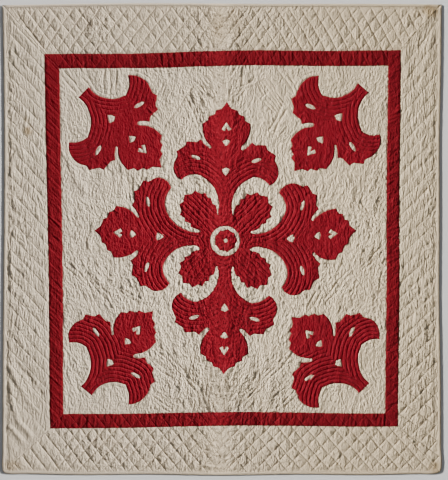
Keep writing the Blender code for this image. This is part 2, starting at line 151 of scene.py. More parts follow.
# Where the puckers are stronger or weaker: x, y, reach along x and y, change. All start from LOOSE.
LOOSE = 0.45
GATHERS = (
    (0.00, -0.05, 0.72, 0.78, 0.45),
    (-0.93, -0.05, 0.13, 0.75, 0.45),
    (0.93, -0.05, 0.14, 1.30, 0.42),
    (-0.01, 0.00, 0.08, 2.00, 0.80),
    (-0.66, 0.19, 0.10, 0.14, -0.15),
    (0.67, 0.20, 0.12, 0.30, 0.12),
    (0.68, -0.30, 0.12, 0.20, 0.15),
    (-0.50, -0.97, 0.30, 0.08, 0.30),
    (0.00, -0.72, 0.25, 0.12, 0.50),
    (-0.86, -0.92, 0.12, 0.14, -0.30),
    (0.95, -1.00, 0.07, 0.07, -0.45),
    (0.00, -0.42, 0.12, 0.25, 0.55),
    (0.66, 0.10, 0.12, 0.20, 0.15),
    (-0.98, 0.30, 0.03, 0.90, 0.30),
    (-0.57, 0.98, 0.055, 0.14, 0.50),
    (0.00, 0.95, 0.140, 0.12, 0.20),
    (0.30, 1.00, 0.080, 0.10, 0.25),
    (-0.42, -0.22, 0.16, 0.20, 0.25),
    (-0.50, 0.10, 0.08, 0.10, 0.25),
    (0.28, 0.62, 0.22, 0.12, -0.20),
    (-0.66, 0.68, 0.10, 0.10, -0.25),
    (0.10, -0.98, 0.20, 0.08, 0.20),
)
# Round puckers of the top and bottom borders: seed, breadth, length, height.
ROUND_PUCKER = (29, 0.0190, 0.0230, 0.9 * MM)
# Pleats that stand square to the edge of a motif, and across the sash: seed, breadth, height.
EDGE_PLEATS = ((61, 0.0150, 2.4 * MM), (62, 0.0085, 1.3 * MM))
SASH_PLEATS = ((63, 0.0095, 1.9 * MM), (64, 0.0180, 1.8 * MM))
PLEAT_LENGTH = 0.080
SASH_LEAN = {"right": -0.4, "top": 0.1, "left": 0.9, "bottom": -0.1}
RELIEF_LIMIT = 11.5 * MM       # the relief never rises more than this above a stitched line
DEEPEST = 2.2 * MM             # nor sinks more than this below it
TOOTHED_SPAN = 0.030           # an edge is toothed this near to a sharp corner

# meshes: spacing of the points
OUTLINE_STEP = 2 * MM          # on the outlines that distances are measured from
FIELD_STEP = 4.1 * MM
BORDER_STEP = 4.5 * MM
LEAF_STEP = 3.9 * MM
SASH_STEP = 4.2 * MM
HIDDEN_STEP = 12 * MM
UNDER_STEP = 13 * MM
BINDING_STEP = 5 * MM

# stitches
STITCH_PITCH = 6.8 * MM
STITCH_LENGTH = 3.6 * MM
STITCH_WIDTH = 0.85 * MM
STITCH_HEIGHT = 0.7 * MM
STITCH_PROUD = 0.15 * MM

# camera, lamps and floor
LENS = 200.0                   # in millimetres, as is the sensor
SENSOR = 36.0
VIEW_HEIGHT = 2.1864           # what the frame takes in, from bottom to top
VIEW_MIDDLE = (0.0091, -0.0036)
LIT = 22.0                     # how far from the middle line each lamp lights the floor
LAMP_AWAY = 13.0
LAMP_BREADTH = 90.0
LAMP_WAY = (0.86, 0.34, 0.35)  # towards the right lamp; the left one is its mirror image
LAMP_STRENGTH = 10.87
ROOM_LIGHT = 0.221
FLOOR_HALF = 60.0
FLOOR_DROP = 0.2 * MM          # how far the floor lies below the quilt's underside
BEAM_SPREAD = 1.1              # degrees; it blurs the line where the two beams meet
MIDDLE = -0.01                 # where they meet
APART = 0.001                  # half the gap between them there

# ---------------------------------------------------------------- noise and steps


def smoothstep(low, high, value):
    t = np.clip((value - low) / (high - low), 0, 1)
    return t * t * (3 - 2 * t)


def off_line(value):
    """Distance to the nearest whole number, from 0 on a stitched line to 0.5 midway."""
    return np.abs(value - np.round(value))


NOISE_CELLS = 64


def noise(u, v, seed):
    """Smooth noise over two coordinates, about -1 to 1, with one lump to each unit."""
    angles = np.random.default_rng(seed).uniform(0, 2 * pi, (NOISE_CELLS, NOISE_CELLS))
    column, row = np.floor(u).astype(int), np.floor(v).astype(int)
    along, up = u - column, v - row
    ease_along, ease_up = (t * t * t * (t * (6 * t - 15) + 10) for t in (along, up))
    total = np.zeros_like(u)
    for c in (0, 1):
        for r in (0, 1):
            angle = angles[(column + c) % NOISE_CELLS, (row + r) % NOISE_CELLS]
            weight = (ease_along if c else 1 - ease_along) * (ease_up if r else 1 - ease_up)
            total += weight * (np.cos(angle) * (along - c) + np.sin(angle) * (up - r))
    return total * 1.5


# ---------------------------------------------------------------- outlines from the frame


def top_loops(node):
    """The edges of a node's upper face as loops of points, with the cloth on their left."""
    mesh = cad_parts[node].data
    points = np.empty(3 * len(mesh.vertices))
    mesh.vertices.foreach_get("co", points)
    mesh.calc_loop_triangles()
    corners = np.empty(3 * len(mesh.loop_triangles), int)
    mesh.loop_triangles.foreach_get("vertices", corners)
    places, number = np.unique(points.reshape(-1, 3).round(6), axis=0, return_inverse=True)
    faces = number.reshape(-1)[corners].reshape(-1, 3)
    top = places[:, 2].max()
    faces = faces[(places[faces][:, :, 2] > top - MM / 10).all(axis=1)]
    edges = {(a, b) for face in faces for a, b in zip(face, np.roll(face, -1))}
    following = {a: b for a, b in edges if (b, a) not in edges}
    loops = []
    while following:
        start, here = following.popitem()
        loop = [start]
        while here != start:
            loop.append(here)
            here = following.pop(here)
        loops.append(places[loop][:, :2])
    return loops


def directions(points):
    """Unit steps to each point from the one before and on to the next, and their lengths."""
    step = np.roll(points, -1, axis=0) - points
    length = np.hypot(*step.T)
    onward = step / length[:, None]
    return np.roll(onward, 1, axis=0), onward, np.roll(length, 1), length


def turns(points):
    before, after, _, _ = directions(points)
    cross = before[:, 0] * after[:, 1] - before[:, 1] * after[:, 0]
    return np.abs(np.arctan2(cross, (before * after).sum(axis=1)))


def softened(points, reach):
    """Points of the loop with each corner rounded over a short reach, or kept sharp if reach is 0.

    With them the direction in which the outline comes to each and leaves it, and which lie on corners.
    """
    before, after, length_before, length_after = directions(points)
    mean = before * length_after[:, None] + after * length_before[:, None]
    mean /= np.hypot(*mean.T)[:, None]
    sharp = turns(points) > SHARP_TURN
    rows = []
    for k, point in enumerate(points):
        if not sharp[k]:
            rows.append((point, mean[k], mean[k], False))
        elif not reach:
            rows.append((point, before[k], after[k], True))
        else:
            back = point - before[k] * min(reach, 0.4 * length_before[k])
            on = point + after[k] * min(reach, 0.4 * length_after[k])
            across = (on - back) / np.hypot(*(on - back))
            rows.append((back, before[k], before[k], True))
            rows.append(((back + 2 * point + on) / 4, across, across, True))
            rows.append((on, after[k], after[k], True))
    return (np.array(column) for column in zip(*rows))


def curve(points, step, reach):
    """Points about step apart on a smooth curve through the loop, and which lie on corners."""
    points, arrive, leave, cornered = softened(points, reach)
    result, corners = [], []
    for k, start in enumerate(points):
        n = (k + 1) % len(points)
        length = np.hypot(*(points[n] - start))
        pieces = max(1, round(length / step))
        t = np.arange(pieces)[:, None] / pieces
        result.append((2 * t**3 - 3 * t**2 + 1) * start + (t**3 - 2 * t**2 + t) * length * leave[k]
                      + (3 * t**2 - 2 * t**3) * points[n] + (t**3 - t**2) * length * arrive[n])
        corners += [bool(cornered[k])] + [False] * (pieces - 1)
    return np.concatenate(result), np.array(corners)


def wavering(points):
    """The points strayed a little, as scissors and needle do."""
    x, y = points.T / WAVER_SPAN
    return points + WAVER * np.stack([noise(x, y, 5), noise(x, y, 6)], axis=1)


def cloth_loops(node, step):
    """A node's outlines as hand-cut curves, and for each point whether it lies on a corner."""
    reach = 0 if node.startswith("sash") else CORNER_ROUND
    curves = [curve(loop, step, reach) for loop in top_loops(node)]
    return [wavering(points) for points, _ in curves], [corners for _, corners in curves]


class Seams:
    """Straight seams, to find how far from the nearest one a point is."""

    def __init__(self, ends):
        self.ends = ends

    def locate(self, points):
        distances = []
        for start, end in self.ends:
            step = end - start
            share = np.clip((points - start) @ step / (step @ step), 0, 1)
            distances.append(np.hypot(*(points - start - share[:, None] * step).T))
        return np.min(distances, axis=0)


class Edges:
    """The edges of some pieces, to find how far inside or outside them a point is."""

    def __init__(self, loops, corners=None, hidden=None):
        self.points = np.concatenate(loops)
        index = np.arange(len(self.points))
        self.next, self.last = index.copy(), index.copy()
        self.along, self.toothed = np.zeros(len(index)), np.zeros(len(index))
        self.parts = np.split(index, np.cumsum([len(loop) for loop in loops])[:-1])
        reach = 0.0
        for number, (loop, own) in enumerate(zip(loops, self.parts)):
            self.next[own], self.last[own] = np.roll(own, -1), np.roll(own, 1)
            length = directions(loop)[3]
            self.along[own] = reach + np.concatenate([[0], np.cumsum(length)[:-1]])
            if corners is not None and corners[number].any():
                places = self.along[own][corners[number]]
                apart = np.abs(self.along[own][:, None] - places[None, :])
                apart = np.minimum(apart, length.sum() - apart)
                self.toothed[own] = smoothstep(1, 6, (apart < TOOTHED_SPAN).sum(axis=1))
            reach += length.sum() + 1.0
        shown = index if hidden is None else index[~hidden]
        self.tree = kdtree.KDTree(len(shown))
        for k in shown:
            self.tree.insert((*self.points[k], 0), k)
        self.tree.balance()

    def locate(self, points):
        """How far each point lies inside the cloth (negative outside), where along the edge, how toothed."""
        find = self.tree.find
        nearest = np.array([find((x, y, 0))[1] for x, y in points.tolist()])
        sides = []
        for a, b in ((self.last[nearest], nearest), (nearest, self.next[nearest])):
            start = self.points[a]
            step = self.points[b] - start
            length = np.hypot(*step.T)
            share = np.clip(((points - start) * step).sum(axis=1) / length**2, 0, 1)
            offset = points - start - share[:, None] * step
            sides.append((np.hypot(*offset.T), step / length[:, None], offset, share))
        first, second = sides
        closer = second[0] < first[0]
        both = (first[3] >= 1) & (second[3] <= 0)
        way = np.where(closer[:, None], second[1], first[1])
        way = np.where(both[:, None], first[1] + second[1], way)
        offset = np.where(closer[:, None], second[2], first[2])
        outside = way[:, 0] * offset[:, 1] < way[:, 1] * offset[:, 0]
        distance = np.minimum(first[0], second[0])
        depth = np.where(outside, -distance, distance)
        depth[distance < TOUCHING] = 0
        beyond = np.where(closer, second[3], first[3] - 1) * OUTLINE_STEP
        return depth, self.along[nearest] + beyond, self.toothed[nearest]


MOTIF_NODES = ("medallion", "medallion_disc", "corner_leaf_top_left", "corner_leaf_top_right",
               "corner_leaf_bottom_left", "corner_leaf_bottom_right")
SIDES = ("right", "top", "left", "bottom")
CORNER_SIGNS = {"bottom_right": (1, -1), "top_right": (1, 1), "top_left": (-1, 1), "bottom_left": (-1, -1)}
SIDE_CORNERS = {
    # side: its corners, counter-clockwise
    "right": ("bottom_right", "top_right"),
    "top": ("top_right", "top_left"),
    "left": ("top_left", "bottom_left"),
    "bottom": ("bottom_left", "bottom_right"),
}
BEND_SPAN = 6                  # outline points each side over which a bend is judged
SHARP_BEND = radians(60)       # the throat's lines stop where it bends more than this


def gathered(nodes, shortest=0.0):
    loops, corners = [], []
    for node in nodes:
        for loop, cornered in zip(*cloth_loops(node, OUTLINE_STEP)):
            if directions(loop)[3].sum() > shortest:
                loops.append(loop)
                corners.append(cornered)
    return Edges(loops, corners)


def frame_edges():
    """The sash's outer and inner edges, without the joints between its strips."""
    strips = [cloth_loops(f"sash_{side}", OUTLINE_STEP)[0] for side in SIDES]
    strip_edges = [Edges(loops) for loops in strips]
    hidden = []
    for number, loops in enumerate(strips):
        points = np.concatenate(loops)
        others = [edges.locate(points)[0] for k, edges in enumerate(strip_edges) if k != number]
        hidden.append(np.max(others, axis=0) > -0.3 * MM)
    return Edges([loop for loops in strips for loop in loops], hidden=np.concatenate(hidden))


def throat_edges(outlines):
    """The long smooth edges beside the stems, which the quilting inside the leaves follows."""
    hidden = np.ones(len(outlines.points), bool)
    for own in outlines.parts:
        onward = directions(outlines.points[own])[1]
        bend = (np.roll(onward, BEND_SPAN, axis=0) * np.roll(onward, -BEND_SPAN, axis=0)).sum(axis=1)
        smooth = (outlines.toothed[own] < 0.5) & (bend > cos(SHARP_BEND))
        if smooth.all():
            continue
        first = int(np.argmin(smooth))
        own, smooth = np.roll(own, -first), np.roll(smooth, -first)
        ends = np.flatnonzero(np.diff(smooth.astype(int), append=0))
        for start, end in zip(ends[::2], ends[1::2]):
            if (end - start) * OUTLINE_STEP > THROAT_RUN:
                hidden[own[start + 1:end + 1]] = False
    return Edges([outlines.points[own] for own in outlines.parts], hidden=hidden)


MOTIFS = gathered(MOTIF_NODES)
OUTLINES = gathered(MOTIF_NODES, WINDOW_LENGTH)
THROATS = throat_edges(OUTLINES)
SASH = frame_edges()
FOLD_LINE = curve(top_loops("quilt_body")[0], BINDING_STEP, 0)[0]
FOLD = Edges([FOLD_LINE])


def offset_loop(points, distance):
    """The loop moved to its right by a distance, mitred at its corners."""
    before, after, _, _ = directions(points)
    mean = before + after
    mean /= np.hypot(*mean.T)[:, None]
    stretch = 1 / np.maximum(0.4, (mean * after).sum(axis=1))
    return points + distance * stretch[:, None] * np.stack([mean[:, 1], -mean[:, 0]], axis=1)


def side_run(side):
    """The numbers of the fold line's points along one side, from corner to corner."""
    first, last = (fold_corner[name] for name in SIDE_CORNERS[side])
    last += len(FOLD_LINE) if last < first else 0
    return np.arange(first, last + 1) % len(FOLD_LINE)


def extreme(points, signs):
    return int(np.argmax(points @ np.array(signs, float)))


fold_corner = {name: extreme(FOLD_LINE, signs) for name, signs in CORNER_SIGNS.items()}
sash_points = np.concatenate([top_loops(f"sash_{side}")[0] for side in SIDES])
butt_corner = {}
for name, signs in CORNER_SIGNS.items():
    outer = sash_points[extreme(sash_points, signs)]
    butt_corner[name] = outer - BUTT_IN * np.array(signs)
SEAMS = Seams([(FOLD_LINE[fold_corner[name]], butt_corner[name]) for name in CORNER_SIGNS])

# ---------------------------------------------------------------- the quilt's height

# Laid creases, and the sprays stitched in the open ground: ends in metres, half breadth and height
# in millimetres (a trough is negative), and, if several lie side by side, how many and how far apart in
# millimetres.
CREASES = (
    # right of the medallion
    (0.615, 0.165, 0.701, 0.051, 4.5, -1.7, 3, 15),
    (0.742, -0.036, 0.642, -0.131, 5.0, -1.8, 2, 18),
    (0.706, -0.086, 0.633, -0.149, 4.5, -1.4),
    (0.647, 0.215, 0.629, 0.151, 4.5, -1.4),
    (0.679, 0.251, 0.647, 0.215, 4.5, -1.4),
    (0.679, 0.224, 0.701, 0.097, 4.5, -1.3),
    (0.592, -0.140, 0.656, -0.241, 5.0, -1.5),
    (0.583, -0.145, 0.474, -0.277, 5.0, -1.6, 2, 20),
    (0.742, -0.222, 0.688, -0.277, 4.5, -1.4),
    (0.720, 0.361, 0.706, 0.292, 4.5, -1.2),
    (0.456, -0.222, 0.392, -0.318, 5.0, -1.8, 2, 20),
    (0.264, -0.236, 0.323, -0.332, 5.0, -1.8, 2, 20),
    (0.369, -0.259, 0.383, -0.332, 4.5, -1.4),
    # above it
    (-0.109, 0.725, -0.159, 0.657, 5.0, -2.4),
    (-0.159, 0.657, -0.269, 0.502, 5.0, -2.4),
    (-0.159, 0.657, -0.096, 0.516, 5.0, -2.4, 2, 18),
    (-0.105, 0.707, 0.000, 0.589, 5.0, -2.4),
    (-0.255, 0.716, -0.292, 0.634, 4.5, -2.1, 2, 18),
    (-0.064, 0.780, 0.000, 0.670, 4.5, -2.4),
    (0.150, 0.730, 0.082, 0.689, 4.5, -2.6),
    (0.100, 0.684, 0.055, 0.611, 4.5, -2.3, 2, 18),
    (0.184, 0.725, 0.219, 0.670, 4.0, -3.6, 5, 14),
    (0.228, 0.689, 0.182, 0.643, 4.5, -2.5),
    (0.214, 0.657, 0.269, 0.589, 4.0, -3.6, 6, 14),
    (0.260, 0.789, 0.342, 0.670, 5.0, -4.1, 2, 23),
    (0.096, 0.784, 0.096, 0.702, 9.0, -3.0),
    (0.141, 0.784, 0.141, 0.707, 6.0, -2.2),
    (-0.073, 0.780, -0.046, 0.707, 9.0, 2.6),
    (-0.082, 0.643, -0.055, 0.570, 8.0, 2.4),
    (0.009, 0.780, 0.009, 0.625, 4.5, -2.1),
    (0.282, 0.598, 0.228, 0.488, 5.5, -2.5, 2, 23),
    # below it
    (-0.296, -0.491, -0.210, -0.578, 5.0, -1.9, 2, 20),
    (-0.210, -0.578, -0.077, -0.723, 5.5, -1.9, 2, 21),
    (-0.310, -0.559, -0.237, -0.623, 5.0, -1.6, 2, 18),
    (-0.137, -0.514, -0.146, -0.660, 4.5, -1.4, 2, 21),
    (-0.055, -0.660, -0.064, -0.751, 5.5, -2.1),
    (0.159, -0.518, 0.164, -0.646, 4.5, -1.6, 2, 18),
    (0.009, -0.623, 0.009, -0.778, 4.5, -1.3),
    (0.319, -0.514, 0.182, -0.660, 5.0, -1.9, 2, 19),
    (0.182, -0.660, 0.059, -0.778, 5.0, -1.9),
    (0.159, -0.669, 0.100, -0.728, 4.0, -1.6, 4, 15),
    (0.232, -0.578, 0.182, -0.637, 4.0, -1.4, 2, 15),
    (0.323, -0.687, 0.232, -0.769, 5.0, -1.8, 4, 20),
    (-0.314, -0.714, -0.228, -0.778, 5.0, -1.6, 3, 17),
    # left of it
    (-0.720, -0.104, -0.629, -0.190, 5.5, -1.8, 2, 20),
    (-0.601, -0.181, -0.492, -0.300, 5.5, -2.2, 2, 20),
    (-0.629, -0.213, -0.583, -0.322, 5.0, -1.6, 3, 21),
    (-0.465, -0.231, -0.364, -0.286, 4.5, -1.4, 2, 18),
    (-0.683, 0.101, -0.642, 0.033, 4.5, -1.6, 2, 18),
    (-0.720, 0.397, -0.619, 0.201, 17.0, 4.4),
    (-0.428, 0.315, -0.405, 0.156, 6.0, -2.2, 2, 20),
    (-0.729, 0.762, -0.647, 0.657, 5.5, -2.1, 2, 23),
    (-0.629, 0.743, -0.565, 0.652, 5.0, -1.8, 2, 20),
    (-0.510, 0.780, -0.510, 0.652, 6.0, -2.6, 3, 27),
    # corners of the borders
    (-0.966, -0.660, -0.938, -0.812, 11.0, 6.5),
    (-0.938, -0.812, -0.868, -0.900, 11.0, 6.5),
    (-0.974, -0.570, -0.895, -0.720, 11.0, 5.5),
    (-0.895, -0.720, -0.826, -0.790, 10.0, 3.5),
    (-0.974, -0.850, -0.902, -0.922, 9.0, 5.5),
    (-0.943, -0.555, -0.812, -0.713, 11.0, -4.0),
    (-0.947, 1.021, -0.820, 0.880, 6.0, -2.8),
    (-0.902, 1.030, -0.797, 0.912, 9.0, 1.8),
    (-0.957, 0.980, -0.838, 0.848, 9.0, 1.8),
    (-0.961, 0.889, -0.902, 0.762, 7.5, 2.4, 2, 30),
    (0.811, 0.862, 0.975, 1.053, 12.0, 2.4),
    (0.952, 0.926, 0.906, 0.689, 8.0, 2.8),
    (0.906, 0.898, 0.865, 0.725, 7.0, -2.2),
    (0.829, -0.874, 0.993, -1.033, 6.0, -2.4),
)


def left_of(way):
    return np.array((-way[1], way[0]))


def creases():
    """Each crease's start, its way, its length, half breadth and height."""
    for x0, y0, x1, y1, half, height, *several in CREASES:
        copies, apart = several or (1, 0)
        length = sqrt((x1 - x0) ** 2 + (y1 - y0) ** 2)
        way = np.array(((x1 - x0) / length, (y1 - y0) / length))
        for number in range(copies):
            shift = (number - (copies - 1) / 2) * apart * MM
            yield np.array((x0, y0)) + shift * left_of(way), way, length, half * MM, height * MM


def crease_place(points, start, way):
    """How far along a crease and how far beside its slightly wandering line each point is."""
    along = (points - start) @ way
    wander = CREASE_WANDER * np.sin(along * 45 + start[0] * 90)
    return along, (points - start) @ left_of(way) - wander


def ends_fade(along, length):
    return smoothstep(-0.012, 0.018, along) * smoothstep(-0.012, 0.018, length - along)


def crease_height(points):
    total = np.zeros(len(points))
    for start, way, length, half, height in creases():
        along, across = crease_place(points, start, way)
        total += height * ends_fade(along, length) * np.exp(-((across / half) ** 2))
    return total


def sprays(points):
    """The narrow troughs as stitched lines: how far off the nearest one is, and how firmly it is drawn."""
    count, strength = np.full(len(points), 0.5), np.zeros(len(points))
    for start, way, length, half, height in creases():
        if half > SPRAY_HALF or height > 0:
            continue
        along, across = crease_place(points, start, way)
        firm = SPRAY_FIRM * ends_fade(along, length)
        closer = (np.abs(across) / ECHO_STEP < np.abs(count)) & (firm > 0)
        count = np.where(closer, across / ECHO_STEP, count)
        strength = np.where(closer, firm, strength)
    return count, strength


def no_lines(points):
    return np.full(len(points), 0.5), np.zeros(len(points))


def hatching(points, zone):
    """Count and strength of the two families of straight lines at each point of a border."""
    axis, middle = BANDS[zone]
    along, across = points[:, axis], points[:, 1 - axis] - middle
    away = smoothstep(0, 14 * MM, SEAMS.locate(points))
    away = away * np.where(SASH.locate(points)[0] > 0, ON_SASH, 1)
    lines = []
    for number, (series, (growth, change), strengths) in enumerate(HATCH[zone]):
        count = np.polynomial.polynomial.polyval(along, series) + (growth + change * along) * across
        count = count + LINE_WANDER * noise(*points.T / 0.09, 31 + number)
        lines.append((count, away * np.interp(along, np.linspace(-0.85, 0.85, len(strengths)), strengths)))
    return lines if len(lines) == 2 else [*lines, no_lines(points)]


def channel(count):
    """Rounded padding between stitched lines: 0 on a line and 1 midway."""
    return np.sin(pi * off_line(count)) ** 0.55


def changed(start, table, x, y):
    """A value that changes smoothly round each place of a table."""
    total = start
    for at_x, at_y, reach_x, reach_y, change in table:
        total = total + change * np.exp(-((x - at_x) / reach_x) ** 2 - ((y - at_y) / reach_y) ** 2)
    return total


def gathering(x, y):
    """How strongly the cloth is puckered."""
    return np.maximum(changed(LOOSE * (1 + 0.4 * noise(x / 0.10, y / 0.12, 43)), GATHERS, x, y), 0.15)


def leaning(points):
    """How far the streaks of the open ground lean to the left at each point, in degrees."""
    total, weights = np.zeros(len(points)), np.full(len(points), 0.05)
    for x, y, lean in LEANS:
        weight = np.exp(-((points[:, 0] - x) ** 2 + (points[:, 1] - y) ** 2) / LEAN_REACH**2)
        total += weight * lean
        weights += weight
    return total / weights


def turned_noise(x, y, breadth, length, lean, seed):
    """Noise with long lumps that lean to the left of upright by an angle in degrees."""
    turn = radians(lean)
    return noise((x * cos(turn) + y * sin(turn)) / breadth, (y * cos(turn) - x * sin(turn)) / length, seed)


def streaks(points, drift):
    """Height of the long narrow puckers of the open ground."""
    x, y = points.T
    lean, total = leaning(points), np.zeros(len(points))
    for angle in LEANINGS:
        share = smoothstep(22.5, 0, np.abs(lean - angle))
        for seed, breadth, length, rise in STREAKS:
            lumps = turned_noise(x + 0.5 * drift, y, breadth, length, angle, seed + int(angle))
            total += share * rise * billows(lumps)
    return total


def billows(lumps):
    """Round puffs with sharp valleys, from noise."""
    return 1.4 * np.abs(lumps) + 0.5 * lumps - 0.38


def leaf_lines(points):
    """The quilting inside the leaves: the count of each line, and how firmly it is drawn.

    The lines follow the throats beside the stems, and run along the medallion's small leaves.
    """
    beside = np.abs(THROATS.locate(points)[0])
    echo = beside / ECHO_STEP + 4 * LINE_WANDER * noise(*points.T / 0.07, 3)
    upper = smoothstep(0.15, 0.80, points[:, 1])
    limit = 6.5 - 1.5 * upper + 3.0 * smoothstep(0.0, 0.7, -points[:, 1])
    firm = smoothstep(limit + 1.8, limit - 1.8, echo + 2 * noise(*points.T / 0.10, 4)) * (1 - 0.42 * upper)
    x, y = (points - MEDALLION_MIDDLE).T
    across, along = np.abs(np.abs(x) - np.abs(y)) / sqrt(2), (np.abs(x) + np.abs(y)) / sqrt(2)
    reach = np.hypot(x, y)
    turn = np.arctan2(across, along)
    limit = radians(28) - radians(6) * smoothstep(0.15, 0.27, reach)
    small = (turn < limit) & (reach < SMALL_LEAF_REACH)
    axis_count = across / ECHO_STEP + 6 * LINE_WANDER * noise(*points.T / 0.05, 7)
    echo = np.where(small, np.abs(axis_count), echo)
    firm = np.where(small, 0.75 * smoothstep(0.28, 0.20, reach) + 0.25, firm)
    return echo, firm * smoothstep(0, radians(2), np.abs(turn - limit) + (reach > SMALL_LEAF_REACH))


def field_lines(points):
    """Count and strength of the echo lines of the field, and where each point lies."""
    outline, along, toothed = OUTLINES.locate(points)
    sash = np.abs(SASH.locate(points)[0])
    inside = outline > 0
    rounds = np.minimum(np.abs(outline), sash + ECHO_STEP) / ECHO_STEP
    rounds = rounds + 2 * LINE_WANDER * noise(*points.T / 0.06, 3) * smoothstep(0, 1, rounds)
    in_leaf, firm = leaf_lines(points)
    echo = np.where(inside, in_leaf, np.minimum(rounds, ECHO_ROUNDS + 0.5))
    outer_firm = (0.7 - 0.3 * smoothstep(1, 2, rounds)) * (1 - 0.8 * toothed)
    return (echo, np.where(inside, firm, outer_firm)), (outline, along, toothed)


def stitched_lines(points, zone):
    """Count and strength of each family of quilting lines: echo, two straight ones, and the sprays."""
    if zone == "field":
        return field_lines(points)[0], no_lines(points), no_lines(points), sprays(points)
    return no_lines(points), *hatching(points, zone), no_lines(points)


def drawn_in(points, zone, reach):
    """The points, with those nearer to a stitched line than reach moved on to it."""
    small = MM / 10
    here = stitched_lines(points, zone)
    ahead = stitched_lines(points + (small, 0), zone)
    above = stitched_lines(points + (0, small), zone)
    best, move = np.full(len(points), reach), np.zeros_like(points)
    for (count, strength), (count_x, _), (count_y, _) in zip(here, ahead, above):
        slope = np.stack([count_x - count, count_y - count], axis=1) / small
        steep = (slope**2).sum(axis=1)
        off = count - np.round(count)
        near = (steep > 100) & (strength > 0.3)
        distance = np.where(near, np.abs(off) / np.sqrt(np.maximum(steep, 100)), 1)
        closer = distance < best
        best = np.where(closer, distance, best)
        step = -off[:, None] * slope / np.maximum(steep, 100)[:, None]
        move = np.where(closer[:, None], step, move)
    for start, way, length, half, _ in creases():
        along, across = crease_place(points, start, way)
        closer = (along > 0) & (along < length) & (np.abs(across) < best) & (half < SHARP_HALF)
        best = np.where(closer, np.abs(across), best)
        move = np.where(closer[:, None], -across[:, None] * left_of(way), move)
    return points + move


